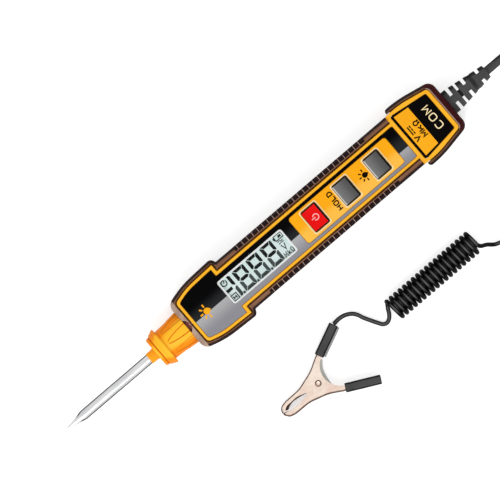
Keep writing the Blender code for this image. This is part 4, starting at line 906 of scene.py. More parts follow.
def finish_boot(name, bm, node, outline, window):
    """Boot with painted shade in its pockets and in the line along the border, and a pale painted highlight on its
    ridges and tail rim.
    """
    def slot_of(middle, normal):
        if middle.z > LAND_ROOT - 0.0001 and inset_of(middle.xy, window) < BORDER_LINE:
            return 2 if middle.x < TAIL_RIM else 3
        if not RIDGED[0] < middle.x < RIDGED[1] or middle.z < 0.006:
            return 0
        lift = lift_of(middle.z)
        depth = GRIP_HALF - ROUND * (1 - sqrt(1 - lift * lift)) - abs(middle.y) if lift < 0.9 else 0.0
        if POCKET_DEPTH * 0.15 < depth < POCKET_DEPTH * 2:
            return 1
        return 3 if middle.z > RIDGE_LOW and inset_of(middle.xy, outline) < RIDGE_REACH else 0
    mark(bm, slot_of)
    return piece(name, bm, "rubber pocket boot_line ridge", stands_for=(node,))


def make_grip():
    """Rubber boot of the head and grip, with a notch for the lamp and pockets between ridges along its sides."""
    outer = grip_path(1.0, [0.0] * 5)
    window = grip_path(BORDER_SOFT, [value - GAP for value in BORDER_MARGINS], True)
    back = grip_path(BORDER_SOFT, [0.002 - GAP] * 5)
    inner = grip_path(1.0, [0.0013] * 5)
    bm = bmesh.new()
    rows = [with_pockets(points, reach) for points, reach in boot_rows(outer, outer, window, back, inner)]
    add_skin(bm, rows, around=False, across=True, caps=True)
    weld(bm)
    bm = carved(bm, [notch_cutter()])
    soften(finish_boot("rubber_grip", bm, "grip", outer, window), 0.00012, 2, 50)


def tail_path(soft, front, side, end, open_front):
    """Open path from the tail bumper's front face round its end, starting beside the raised border."""
    half = tail_half(soft)
    if open_front:
        half[0] = (*half[0][:2], 0.0, 6)
        half[2] = (*half[2][:2], BORDER_TAIL, 9)
    ring = mirrored(half, [front, side, side, end])
    start = min(TAIL_HALF - side, TAIL_HALF - 0.0021)
    return [Vector((TAIL_STEP + front, -start)), *ring, Vector((TAIL_STEP + front, start))]


def make_tail_bumper():
    """Rubber boot of the tail."""
    front = 0.00065
    outer = tail_path(1.0, 0.0, 0.0, 0.0, False)
    window = tail_path(BORDER_SOFT, front, 0.0021, 0.003, True)
    back = tail_path(BORDER_SOFT, front, 0.0017, 0.0017, True)
    inner = tail_path(1.0, front, 0.0013, 0.0013, False)
    ahead = TAIL_STEP - 0.005
    guide = [Vector((ahead, -TAIL_HALF)), *outer[8:-8], Vector((ahead, TAIL_HALF))]
    bm = bmesh.new()
    rows = [points for points, reach in boot_rows(guide, outer, window, back, inner)]
    add_skin(bm, rows, around=False, across=True, caps=True)
    finish_boot("rubber_tail_bumper", bm, "tail_bumper", outer, window)


# Orange case

def case_body(bm):
    """Upper half of the case under its rubber, open below, with the window and key openings in its roof."""
    low, roof = SHELL_SPLIT, PANEL_FLOOR - 0.0001

    def dome(wall, crest):
        rows = [flat(shell_ring(wall), low)]
        rows += [flat(shell_ring(wall + inset), crest - drop) for drop, inset in rounding(ROUND - wall, 4)]
        return add_skin(bm, rows)

    skin, lining = dome(0.0016, roof), dome(0.003, CEILING)
    tops, bottoms = edge_loop(bm, skin[-1]), edge_loop(bm, lining[-1])
    for hole in (window_opening(0.0006), *(key_opening(x) for x in KEYS)):
        wall = add_skin(bm, [flat(hole(0), CEILING), flat(hole(0), roof)])
        tops += edge_loop(bm, wall[-1])
        bottoms += edge_loop(bm, wall[0])
    fill_between(bm, tops, bottoms, edge_loop(bm, skin[0]) + edge_loop(bm, lining[0]))


def add_collar(bm):
    """Upper half of the collar between grip and tail bumper, with rounded edges."""
    start, width, edge, low = GRIP_END + 0.00003, 0.0018, 0.00025, SHELL_SPLIT
    front = [(x, drop) for drop, x in rounding(edge, 3)]
    rows = []
    for x, drop in front + [(width - x, drop) for x, drop in front[::-1]]:
        half, high = GRIP_HALF - drop, TOP - drop
        corners = [(half, low, 0, 0), (half, high, ROUND, 7), (-half, high, ROUND, 7), (-half, low, 0, 0)]
        rows.append([(start + x, point.x, point.y) for point in rounded(corners)])
    add_skin(bm, rows, caps=True)


def make_orange_case():
    """Upper case: body, raised border round panel and label, key field and collar."""
    bm = bmesh.new()
    case_body(bm)
    weld(bm)
    bm = carved(bm, [notch_cutter()])
    add_plate(bm, land_ring, [grown(panel_ring), grown(label_ring)], LAND_ROOT, LAND_TOP, 0.00022)
    add_collar(bm)
    piece("orange_case", bm, "orange", stands_for=("front_shell",))
    bm = bmesh.new()
    add_plate(bm, field_ring, [key_opening(x) for x in KEYS], PANEL_FLOOR, LAND_TOP, 0.00018)
    piece("key_field", bm, "field")


# Panel, label and prints

PANEL_ROOT = 0.0214
PANEL_GAP = 0.0002
PIXEL = 0.00045
PEN_COLUMN, PEN_ROW = 21.55, 369.9
ACROSS = (0.0, 1.0)


def make_panel():
    bm = bmesh.new()
    openings = [grown(lambda margin: field_ring(margin - PANEL_GAP)), grown(window_opening(-PANEL_GAP))]
    add_plate(bm, lambda margin: panel_ring(PANEL_GAP + margin), openings, PANEL_ROOT, PANEL_TOP, 0.00008, 2)
    piece("panel_overlay", bm, "panel", stands_for=("face_overlay",))
    bm = bmesh.new()
    add_block(bm, lambda margin: label_ring(PANEL_GAP + margin), PANEL_ROOT, PANEL_TOP, 0.00008, 2)
    piece("label_plate", bm, "label", stands_for=("tail_label",))


def strip(points, width, closed):
    """Left and right edges of a line of one width through points, with mitred corners."""
    count = len(points)
    left, right = [], []
    for index, point in enumerate(points):
        ahead = points[(index + 1) % count] - point if closed or index < count - 1 else point - points[index - 1]
        back = point - points[index - 1] if closed or index > 0 else ahead
        one, two = back.normalized(), ahead.normalized()
        normal = Vector((-(one.y + two.y), one.x + two.x)).normalized()
        reach = width / 2 / max(0.5, normal.dot(Vector((-one.y, one.x))))
        left.append(point + normal * reach)
        right.append(point - normal * reach)
    return left, right


class Print:
    """Thin raised print on a flat surface, drawn with lines and filled shapes in a frame of its own."""

    def __init__(self, origin=(0.0, 0.0), right=(1.0, 0.0), low=PANEL_TOP):
        self.bm = bmesh.new()
        self.origin = Vector(origin)
        self.right = Vector(right)
        self.low = low - 0.00002
        self.high = low + 0.00003

    def place(self, x, y):
        return self.origin + self.right * x + Vector((-self.right.y, self.right.x)) * y

    def line(self, points, width, closed=False):
        left, right = strip([self.place(x, y) for x, y in points], width, closed)
        rails = [flat(left, self.low), flat(left, self.high), flat(right, self.high), flat(right, self.low)]
        rows = [list(row) for row in zip(*rails)]
        add_skin(self.bm, rows + rows[:1] if closed else rows, caps=not closed)

    def fill(self, points):
        add_prism(self.bm, [self.place(x, y) for x, y in points], self.low, self.high)

    def arc(self, x, y, radius, width, start, stop, steps=32):
        angles = [radians(start + (stop - start) * index / steps) for index in range(steps + 1)]
        self.line([(x + radius * cos(a), y + radius * sin(a)) for a in angles], width)

    def bulb(self, radius, tip):
        """Round bulb drawn to a point on its right, with five rays on its left."""
        first, steps = acos(radius / tip), 30
        angles = [first + (2 * pi - 2 * first) * index / steps for index in range(steps + 1)]
        self.fill([(tip, 0)] + [(radius * cos(a), radius * sin(a)) for a in angles])
        for a in (radians(turn) for turn in (90, 135, 180, 225, 270)):
            self.line([(reach * cos(a), reach * sin(a)) for reach in (radius * 1.36, radius * 2.36)], radius * 0.46)

    def text(self, word, x, y, width, height, gap, weight):
        """Plain letters on a baseline, made of lines."""
        for letter in word:
            closed, *strokes = LETTERS[letter]
            for points in strokes:
                self.line([(x + a * width, y + b * height) for a, b in points], weight, closed)
            x += width + gap

    def add(self, name, key, body="tester", slot="panel_print"):
        piece(name, self.bm, key, body)


def round_letter(start, stop, steps):
    """Part of a rounded-square letter outline, from 0 to 1 across and up."""
    angles = [radians(start + (stop - start) * index / steps) for index in range(steps + 1)]
    return [[0.5 + copysign(0.5 * abs(value) ** 0.62, value) for value in (cos(a), sin(a))] for a in angles]


# Strokes of each letter, after a flag for closed ones
LETTERS = {
    "H": (False, [(0, 0), (0, 1)], [(1, 0), (1, 1)], [(0, 0.5), (1, 0.5)]),
    "O": (True, round_letter(0, 340, 17)),
    "L": (False, [(0, 1), (0, 0), (0.9, 0)]),
    "D": (True, [(0, 0), (0, 1), (0.5, 1), (0.85, 0.86), (1, 0.6), (1, 0.4), (0.85, 0.14), (0.5, 0)]),
    "C": (False, round_letter(42, 318, 18)),
    "M": (False, [(0, 0), (0, 1), (0.5, 0.3), (1, 1), (1, 0)]),
    "V": (False, [(0, 1), (0.5, 0), (1, 1)]),
    "k": (False, [(0, 0), (0, 1)], [(0.95, 0.72), (0.12, 0.3)], [(0.42, 0.4), (1, 0)]),
    "ohm": (False, [
        (0, 0), (0.32, 0), (0.32, 0.14), (0.1, 0.4), (0.04, 0.66), (0.22, 0.94), (0.5, 1.02),
        (0.78, 0.94), (0.96, 0.66), (0.9, 0.4), (0.68, 0.14), (0.68, 0), (1, 0),
    ]),
}


def spot(column, row):
    """Place at a column and row of the photograph, once that is turned so that the pen lies level."""
    return Vector((PIXEL * (column - PEN_COLUMN), -PIXEL * (row - PEN_ROW)))


def spots(*places):
    return [spot(*place) for place in places]


def box(left, right, low, high):
    return spots((left, low), (right, low), (right, high), (left, high))


def near_spot(column, row, points):
    """Points in picture elements from a place, with Y up."""
    return [spot(column, row) + Vector(point) * PIXEL for point in points]


def draw_digits(black, grey):
    """Four digits: black upper halves and middle bars, grey lower halves and points."""
    bars = (
        ((0.9, 0), (12.4, 0), (10.4, 3.5), (3.9, 3.5)),
        ((12.9, 0.1), (14.2, 1.4), (14.2, 11.0), (13.1, 11.9), (10.8, 9.8), (10.8, 3.7)),
        ((-0.2, 1.4), (0.5, 0.5), (3.5, 3.8), (3.5, 9.8), (1.1, 11.9), (-0.2, 11.0)),
    )
    one = ((-0.2, 0), (1.6, 0), (3.3, 1.6), (3.3, 11.0), (2.2, 11.9), (-0.2, 9.6))
    middle = ((1.7, 0), (3.8, 1.75), (10.4, 1.75), (12.5, 0), (10.4, -1.75), (3.8, -1.75))
    for column, shapes in ((-1.2, bars), (16.8, bars), (34.9, bars), (-8.2, (one,))):
        for shape in shapes:
            black.fill(near_spot(column, 357.3, [(x, -y) for x, y in shape]))
            grey.fill(near_spot(column, 382.0, shape))
        if shapes is bars:
            black.fill(near_spot(column, 369.6, middle))
    for column in (-4.6, 13.5, 31.6):
        grey.fill(near_spot(column, 382.1, ((0, 0), (2.1, 0), (2.1, 2.4), (0, 2.4))))


def draw_signs(black, grey):
    """Small signs of the display: a dial, a marked square, a cell, a wave over a bar, and the units."""
    x, y = spot(-13.8, 361.0)
    black.arc(x, y, 3.0 * PIXEL, 1.15 * PIXEL, 62, 398)
    black.line(near_spot(-13.8, 361.0, ((0, 0), (1.5, 2.6))), 1.1 * PIXEL)
    black.fill(box(-17.9, -10.1, 368.0, 371.3))
    black.line(box(-17.2, -10.5, 381.9, 375.3), PIXEL, True)
    black.line(box(53.2, 62.4, 363.0, 357.8), 1.05 * PIXEL, True)
    black.fill(box(51.4, 53.2, 361.8, 359.0))
    black.fill(spots((56.6, 361.6), (60.8, 361.6), (60.8, 359.2), (57.6, 359.2)))
    grey.line(spots((53.4, 366.9), (59.6, 366.9)), 0.95 * PIXEL)
    wave = [(53.4 + 0.62 * index, 364.9 - 0.55 * sin(2 * pi * index / 10)) for index in range(11)]
    grey.line(spots(*wave), 0.95 * PIXEL)
    for drawing, letter, place, width, height, weight in (
        (black, "H", (-15.3, 380.3), 2.9, 3.4, 1.05), (grey, "V", (54.2, 375.0), 4.2, 6.2, 1.25),
        (grey, "M", (50.9, 382.0), 2.9, 5.2, 0.95), (grey, "k", (55.6, 382.0), 2.2, 5.2, 0.95),
        (grey, "ohm", (59.2, 382.0), 3.2, 5.2, 0.9),
    ):
        drawing.text([letter], *spot(*place), width * PIXEL, height * PIXEL, 0, weight * PIXEL)


def make_display():
    """Face with its segments under a clear lens, in a white frame."""
    face = CEILING - GAP
    black, grey = Print(low=face), Print(low=face)
    draw_digits(black, grey)
    draw_signs(black, grey)
    black.add("display_segments", "segment", slot=None)
    grey.add("display_signs", "segment_pale", slot=None)
    bm = bmesh.new()
    opening = grown(window_opening(0.00072))
    add_plate(bm, window_opening(0.00062), [opening], face + 0.00005, PANEL_FLOOR + 0.0001, 0.00005, 2)
    add_plate(bm, window_opening(-0.00017), [opening], PANEL_FLOOR + 0.00002, PANEL_FLOOR + 0.00016, 0.00004, 2)
    piece("display_frame", bm, "white")
    bm = bmesh.new()
    add_block(bm, window_opening(0), PANEL_FLOOR + 0.0002, PANEL_TOP, 0.00012, 3)
    piece("clear_window", bm, "lens", stands_for=("display_lens",))


def make_prints():
    """Legends of the keys, lamp sign on the head, and the tail's signs."""
    hold = Print(spot(126.4, 381.0), ACROSS, LAND_TOP)
    hold.text("HOLD", 0.0003, 0.0001, 0.0017, 0.0022, 0.00086, 0.00058)
    hold.add("hold_legend", "ink")
    bulb = Print(spot(163.6, 369.9), low=LAND_TOP)
    bulb.bulb(2.9 * PIXEL, 4.4 * PIXEL)
    bulb.add("lamp_legend", "ink")
    sign = Print(spot(-44.6, 370.9))
    sign.bulb(3.4 * PIXEL, 4.6 * PIXEL)
    sign.add("head_lamp_sign", "orange_print")
    inlay = Print()
    (left, wide), (right, narrow) = spot(222.9, 345.0), spot(240.1, 346.6)
    inlay.fill([(left, -wide), (right, -narrow), (right, narrow), (left, wide)])
    inlay.add("tail_inlay", "orange_print")
    common = Print(spot(257.2, 383.6), ACROSS)
    common.text("COM", 0.0003, 0.0003, 0.00295, 0.0033, 0.00132, 0.0005)
    common.add("common_legend", "cream")
    signs = Print(spot(230.2, 379.6), ACROSS, PANEL_TOP + 0.00003)
    signs.text("V", 0.0003, 0.0, 0.0022, 0.0024, 0, 0.00066)
    signs.line([(0.0037, 0.0017), (0.0083, 0.0017)], 0.0006)
    for x in (0.0037, 0.00535, 0.007):
        signs.line([(x, 0.0006), (x + 0.0013, 0.0006)], 0.0006)
    signs.origin = spot(238.6, 380.0)
    signs.text(("M", "k", "ohm"), 0.0003, 0.0, 0.00215, 0.0024, 0.00085, 0.00062)
    signs.add("tail_signs", "ink")


# Keys

def make_keys():
    """Three keys with rounded rims and shallow dished tops, each in a cream surround."""
    low, top, edge, flange = CEILING - GAP, 0.0229, 0.00045, 0.0008
    for x, name, shade in zip(KEYS, ("power", "hold", "light"), ("red", "grey", "grey")):
        def cap(grow):
            length, width = KEY_HALF[0] + grow, KEY_HALF[1] + grow
            return rectangle(x - length, x + length, -width, width, 0.0007 + max(grow, -0.0004), 6)

        def slot_of(middle, normal):
            """1 for painted shade where a cap turns down: broad at its tail end, narrow at its front end."""
            ahead, behind = KEY_HALF[0] - middle.x + x, KEY_HALF[0] + middle.x - x
            return ahead < 0.0008 or behind < 0.0002 or KEY_HALF[1] - abs(middle.y) < 0.00065

        shape = [(low - flange, flange), (low, flange), (low, 0)]
        shape += [(top - drop, -inset) for drop, inset in rounding(edge, 5)]
        dish = ((0.00001, 0.00065), (0.00002, 0.0009), (0.00012, 0.0016), (0.00018, 0.0026))
        shape += [(top - depth, -inset) for depth, inset in dish]
        bm = bmesh.new()
        add_skin(bm, [flat(cap(grow), height) for height, grow in shape], caps=True)
        mark(bm, slot_of)
        piece(f"{name}_button", bm, f"{shade} key_edge", f"{name}_key", (f"{name}_key",), 50)
        bm = bmesh.new()
        surround = shrinking(x - 0.00487, x + 0.00487, -0.00637, 0.00637, 0.00105, 6)
        add_plate(bm, surround, [key_opening(x)], LAND_TOP - 0.00004, LAND_TOP + 0.00003, 0.00002, 1)
        piece(f"{name}_surround", bm, "cream")
    sign = Print(spot(99.2, 369.9), low=top - 0.00018)
    sign.arc(0, 0, 3.05 * PIXEL, PIXEL, -145, 145, 30)
    sign.line([(-4.9 * PIXEL, 0), (-0.4 * PIXEL, 0)], PIXEL)
    sign.add("power_sign", "pink_print", "power_key")


# Nozzle, probe and lamp

LEAVES = 8
LEAF_PITCH = 2 * pi / LEAVES
LEAF_START = -0.0522
LEAF_END = FRONT + 0.0002
LEAF_HALF = 0.216
LEAF_EDGE = 0.056
LEAF_DEPTH = 0.00038


def leaf_width(x):
    """Half width of a leaf-shaped flute as an angle, and how much of its depth it has there."""
    t = (x - LEAF_START) / (LEAF_END - LEAF_START)
    if t <= 0:
        return 0.03, 0.0
    return max(0.03, LEAF_HALF * sqrt(1 - (1 - t) ** 2)), min(1.0, t / 0.12)


def fluted_ring(x, radius, fluted):
    """Ring round the pen's axis with columns that follow the edges of the leaves."""
    half, share = leaf_width(x)
    depth = LEAF_DEPTH * share if fluted else 0.0
    gap = LEAF_PITCH - 2 * (half + LEAF_EDGE)
    columns = [(half * f, 1 - 0.25 * f * f) for f in (-1, -0.8, -0.45, 0, 0.45, 0.8, 1)]
    columns += [(half + LEAF_EDGE + gap * step / 5, 0.0) for step in range(6)]
    ring = []
    for leaf in turns(LEAVES):
        for turn, sink in columns:
            reach = radius - depth * sink
            ring.append((x, reach * sin(leaf + turn), AXIS + reach * cos(leaf + turn)))
    return ring


def make_nozzle():
    """Nozzle with a barbed guard, a stepped cone with leaf-shaped flutes, and a bore for the probe's holder."""
    guard, ring, barb, cone, ledge = -0.059515, -0.057845, -0.054695, -0.054065, -0.04686
    guard_radius, barb_radius, cone_radius, root_radius = 0.0072, 0.0094, 0.00752, 0.00895
    neck, hub, bore, holder, seat, groove = 0.00272, 0.0029, 0.00245, 0.0044, 0.006, 0.0069
    groove_front, groove_back, holder_front = -0.038125, -0.036525, -0.050725
    lip = guard_radius + (barb_radius - guard_radius) / (barb - guard) * (ring - guard)
    step = cone_radius + (root_radius - cone_radius) / (LEAF_END - cone) * (ledge - cone)
    second = ring + 0.00165
    outer = rounded([
        (NECK, bore, 0, 0),
        (NECK, neck, 0.0001, 3),
        (guard - 0.0011, neck, 0.0002, 2),
        (guard - 0.0008, hub, 0.0002, 2),
        (guard, hub, 0.0002, 2),
        (guard, guard_radius, 0.00045, 4),
        (ring - 0.0004, lip - 0.00016, 0.00012, 2),
        (ring - 0.0002, lip - 0.00046, 0.00008, 2),
        (ring + 0.0002, lip - 0.00028, 0.00008, 2),
        (ring + 0.0004, lip + 0.0002, 0.00012, 2),
        (second - 0.0002, lip + 0.00066, 0.0001, 2),
        (second, lip + 0.0006, 0.00006, 2),
        (second + 0.0002, lip + 0.00084, 0.0001, 2),
        (barb, barb_radius, 0.0003, 3),
        (cone, barb_radius - 0.0002, 0.00022, 3),
        (cone, cone_radius, 0.0003, 3),
        (ledge - 0.0003, step - 0.00015, 0.0002, 2),
        (ledge + 0.0002, step + 0.0001, 0.0002, 2),
        (LEAF_END, root_radius, 0.0003, 3),
        (LEAF_END, seat, 0, 0),
        (groove_front, seat, 0, 0),
        (groove_front, groove, 0, 0),
        (groove_back, groove, 0, 0),
        (groove_back, holder, 0, 0),
        (holder_front, holder, 0, 0),
        (holder_front, bore, 0, 0),
    ])
    rows = []
    for here, there in zip(outer, outer[1:] + outer[:1]):
        fluted = here.y > 0.0065 and cone < here.x < LEAF_END + 1e-6
        rows.append(fluted_ring(*here, fluted))
        if fluted and there.x - here.x > 0.001:
            count = ceil((there.x - here.x) / 0.0004)
            rows += [fluted_ring(*here.lerp(there, part / count), True) for part in range(1, count)]
    bm = bmesh.new()
    add_skin(bm, rows, across=True)

    # Slot 1 is painted shade along the edges of the leaves and in the fine grooves of the guard
    def slot_of(middle, normal):
        turn = abs((atan2(middle.y, middle.z - AXIS) + LEAF_PITCH / 2) % LEAF_PITCH - LEAF_PITCH / 2)
        half, share = leaf_width(middle.x)
        edge = share > 0 and half < turn < half + LEAF_EDGE and middle.x < LEAF_END
        fine_groove = abs(middle.x - ring) < 0.0003 or abs(middle.x - second) < 0.0001
        return sqrt(middle.y ** 2 + (middle.z - AXIS) ** 2) > 0.0068 and (edge or fine_groove)

    mark(bm, slot_of)
    piece("fluted_nozzle", bm, "nozzle nozzle_line", stands_for=("nozzle",))


def make_probe():
    """Steel probe: fine point, long cone, rounded shoulder and drawn shaft."""
    shoulder, full, fine, wide = -0.104425, -0.101525, 0.00022, 0.00194
    profile = [(TIP, 0.0)]
    profile += [(TIP + inset, fine - drop) for drop, inset in rounding(fine, 5)[1:]]
    for t in (step / 12 for step in range(1, 13)):
        profile.append((TIP + fine + (shoulder - TIP - fine) * t, fine + (wide - fine) * (1.08 * t - 0.08 * t * t)))
    for t in (step / 6 for step in range(1, 7)):
        profile.append((shoulder + (full - shoulder) * t, wide + 0.00045 * sin(pi / 2 * t)))
    profile += [(-0.0642, 0.00239), (-0.0632, 0.00239), (-0.0628, 0.00225), (-0.04545, 0.00225)]
    profile += [(-0.045225, 0.0021), (-0.045225, 0.0)]
    bm = bmesh.new()
    add_turned(bm, profile, 64, Matrix.Translation((0, 0, AXIS)))
    piece("steel_probe", bm, "steel", stands_for=("probe_rod",))


def notch_arc(inset):
    """Curve of the lamp notch, seen from above, from one side of the head to the other."""
    radius, reach = NOTCH_RADIUS - inset, asin(NOTCH_HALF / NOTCH_RADIUS)
    angles = [reach * (step / 16 - 1) for step in range(33)]
    return [Vector((NOTCH_CENTRE + radius * cos(a), radius * sin(a))) for a in angles]


def make_lamp():
    """Domed torch lamp on two legs, in a dark well cut into the head."""
    tip, back, radius, height = -0.039755, -0.034555, 0.00145, TOP - 0.00255
    profile = [(tip, 0.0)]
    profile += [(tip + inset, radius - drop) for drop, inset in rounding(radius, 8)[1:]]
    profile += [(back - 0.0006, 0.00137), (back - 0.0006, radius), (back, radius), (back, 0.0)]
    bm = bmesh.new()
    add_turned(bm, profile, 40, Matrix.Translation((0, 0, height)))
    for side in (-0.0009, 0.0009):
        leg = shrinking(back - 0.00075, back - 0.00025, side - 0.00025, side + 0.00025)
        add_block(bm, leg, 0.0149, height, 0.00005, 1)
    piece("lamp", bm, "lamp", stands_for=("torch_lamp",))
    bm = bmesh.new()
    rows = []
    for near, far in zip(notch_arc(0.00004), notch_arc(0.00026)):
        inset = max(0.0, near.x - FRONT)
        crown = TOP - ROUND * (1 - sin(acos(max(-1.0, 1 - inset / ROUND)))) - 0.00006
        crown = max(crown, TOP - 0.0041)
        rows.append([(*near, NOTCH_FLOOR), (*near, crown), (*far, crown), (*far, NOTCH_FLOOR)])
    add_skin(bm, rows, caps=True)
    add_prism(bm, notch_arc(0.0001)[1:-1], NOTCH_FLOOR - 0.00002, NOTCH_FLOOR + 0.00018)
    piece("lamp_well", bm, "well")


# Strain relief

def make_relief():
    """Tapered strain relief slotted from the sides and from above and below, with a smooth cord guard."""
    core, edge, start = 0.00185, 0.0002, 0.00002
    slots = (
        (0.00243, 0.0041, "side"), (0.00639, 0.00765, "both"), (0.01026, 0.01188, "side"),
        (0.01359, 0.0154, "face"), (0.01791, 0.01953, "side"),
    )
    base, end, length = 0.00585, 0.0033, 0.02223
    guard, stop = 0.00195, 0.03413

    def radius(x):
        return base + (end - base) * max(0.0, x - 0.00243) / (length - 0.00243)

    stations = [(-0.0047, 0.0043, None), (-0.0045, 0.0045, None), (-0.0033, 0.0045, None), (-0.0033, 0.003, None)]
    stations += [(start, 0.003, None)]
    for low, high, kind in (*slots, (length, length, None)):
        edges = rounding(edge, 3)
        stations += [(start + drop, radius(start) - inset, None) for drop, inset in edges[::-1]]
        stations += [(low - drop, radius(low) - inset, None) for drop, inset in edges]
        if kind:
            stations += [(low + 0.00001, radius(low) - edge, kind), (high - 0.00001, radius(high) - edge, kind)]
        start = high
    stations += [(length, guard + 0.0004, None), (length + 0.00012, guard + 0.00015, None)]
    stations += [(length + 0.0004, guard, None)]
    stations += [(stop - drop, guard - inset, None) for drop, inset in rounding(0.0003, 4)]
    rows = []
    for x, reach, kind in stations:
        row = []
        for a in turns(72):
            y, z = reach * cos(a), reach * sin(a)
            if kind in ("side", "both"):
                y = max(-core, min(core, y))
            if kind in ("face", "both"):
                z = max(-core, min(core, z))
            row.append((TAIL + x, y, AXIS + z))
        rows.append(row)
    bm = bmesh.new()
    add_skin(bm, rows, caps=True)
    return piece("cord_relief", bm, "relief", stands_for=("strain_relief",))


# Spring clip, with X and Y from its rivet

SHEET = 0.0006
FIXED_DEPTH = 0.0072
MOVING_DEPTH = 0.0054
HANDLE_HALF = 0.0013
# Start, angle and length of the sleeve on each handle
FIXED_HANDLE = ((0.0083, 0.0092), radians(24.4), 0.0156)
MOVING_HANDLE = ((0.00795, -0.0095), radians(-26.8), 0.0166)
# Corners of the mating edge behind the teeth and of the outer edge, with the radius and steps of each below
FIXED_EDGES = (
    ((-0.0178, 0.0015), (-0.0112, 0.0017), (-0.0064, 0.00015), (-0.0028, -0.0031), (0.0031, -0.0031), (0.0042, 0.004)),
    ((0.0005, 0.0064), (-0.0085, 0.0036), (-0.0165, 0.0035), (-0.0196, 0.0029), (-0.0209, 0.0012)),
)
MOVING_EDGES = (
    ((-0.0178, -0.0014), (-0.0112, -0.0016), (-0.0064, -0.00015), (-0.0026, 0.003), (0.003, 0.003), (0.0042, -0.0042)),
    ((0.0003, -0.0067), (-0.0085, -0.0042), (-0.0163, -0.0041), (-0.0194, -0.0034), (-0.0209, -0.0014)),
)
EDGE_ROUNDS = (
    ((0.003, 5), (0.006, 6), (0.002, 4), (0.0025, 5), (0.003, 8), (0.007, 6)),
    ((0.02, 8), (0.014, 8), (0.004, 4), (0.003, 4), (0.0015, 3)),
)


def handle_corners(handle, side):
    """Outer and inner corners of a handle just before its sleeve and inside its end."""
    start, angle, length = handle
    along = Vector((cos(angle), sin(angle)))
    across = Vector((-along.y, along.x)) * side * HANDLE_HALF
    ends = (Vector(start) - along * 0.0016, Vector(start) + along * (length - 0.0012))
    return [end + across for end in ends], [end - across for end in ends]


def teeth(side):
    """Small teeth along the gripping edge, from the tip backwards."""
    edge, depth = 0.00005 * side, 0.0003 * side
    corners = [(-0.0211, edge, 0, 0)]
    for x in (-0.02085, -0.0204, -0.01995):
        corners += [(x, edge, 0, 0), (x + 0.00012, depth, 0, 0), (x + 0.0003, edge, 0, 0)]
    return [*corners, (-0.0195, edge, 0, 0)]


def jaw_outline(handle, side, edges):
    """Corners of the mating edge from the tip to the handle's end, and of the outer edge back to the tip."""
    outer, inner = handle_corners(handle, side)
    near, far = [[(*place, *corner) for place, corner in zip(*pair)] for pair in zip(edges, EDGE_ROUNDS)]
    mating = [*teeth(side), *near, (*inner[0], 0.004, 5), (*inner[1], 0, 0)]
    return mating, [(*outer[1], 0, 0), (*outer[0], 0.012, 6), *far]


def make_jaw(name, handle, side, edges, depth, fold, body, node):
    """Stamped channel: two side plates joined by a web along the outer edge, with rolled edges."""
    mating, outside = jaw_outline(handle, side, edges)
    chain = mating + outside
    margins = [-0.002] * len(mating) + [SHEET] * len(outside)
    margins[len(mating) - 1] = SHEET / 4
    if side < 0:
        chain = chain[::-1]
        margins = margins[-2::-1] + margins[-1:]
    middle, half = CLIP.z, depth / 2
    rows = []
    for drop, inset in rounding(fold, 3):
        shape = offset(chain, [inset if margin > 0 else 0.0 for margin in margins])
        rows.append(flat(rounded(shape), middle + half - drop))
    rows = [[(x, y, 2 * middle - z) for x, y, z in row] for row in rows[::-1]] + rows
    blank = bmesh.new()
    add_skin(blank, rows, caps=True)
    hollow = prism(rounded(offset(chain, margins)), middle - half + SHEET, middle + half - SHEET)
    bm = carved(blank, [hollow, prism(disc(0.0012, 32), middle - 0.01, middle + 0.01)])
    bmesh.ops.translate(bm, verts=bm.verts, vec=(CLIP.x, CLIP.y, 0))
    # Painted shade on the rolled edges where they turn down
    mark(bm, lambda place, normal: abs(place.z - middle) > half - fold and abs(normal.z) < 0.98)
    jaw = piece(name, bm, "copper copper_edge", body, (node,))
    soften(jaw, 0.00014, 3)
    return jaw


def along_handle(handle, height):
    """Frame at the start of a handle's sleeve, with X along the handle."""
    start, angle, _ = handle
    return Matrix.Translation((CLIP.x + start[0], CLIP.y + start[1], height)) @ Matrix.Rotation(angle, 4, "Z")


def make_sleeve(name, handle, depth, body, node, key):
    """Soft tube over a handle, with rounded lips and a shallow moulded band near its start."""
    length, edge = handle[2], 0.0003
    outer = shrinking(-0.00215, 0.00215, -depth / 2, depth / 2, 0.0012, 6)
    inner = shrinking(-0.00165, 0.00165, 0.0005 - depth / 2, depth / 2 - 0.0005, 0.0007, 6)
    rows = [(along, outer(drop)) for drop, along in rounding(edge, 4)]
    for place in (0.0022, 0.0031):
        rows += [(place - 0.0002, outer(0)), (place, outer(0.00012)), (place + 0.0002, outer(0))]
    rows += [(length - along, outer(drop)) for drop, along in rounding(edge, 4)[::-1]]
    rows += [(length, inner(0)), (0, inner(0))]
    bm = bmesh.new()
    add_skin(bm, [flat(ring, along) for along, ring in rows], across=True)
    # Painted shade on the rounded lips at both ends
    mark(bm, lambda place, normal: min(place.z, length - place.z) < edge)
    upright = Matrix(((0, 0, 1, 0), (1, 0, 0, 0), (0, 1, 0, 0), (0, 0, 0, 1)))
    bmesh.ops.transform(bm, matrix=along_handle(handle, CLIP.z) @ upright, verts=bm.verts)
    return piece(name, bm, f"{key} key_edge", body, (node,))


def make_sleeve_side_highlight():
    """Pale band along the inner side of the fixed handle's sleeve, a painted highlight for the light on that side."""
    side_highlight = shrinking(0.0007, FIXED_HANDLE[2] - 0.0002, -0.0031, -0.0017)
    bm = bmesh.new()
    add_block(bm, side_highlight, CLIP.z - 0.0012, CLIP.z + 0.0012, 0.0002, 4, along_handle(FIXED_HANDLE, 0), True)
    return piece("sleeve_side_highlight", bm, "side_highlight")


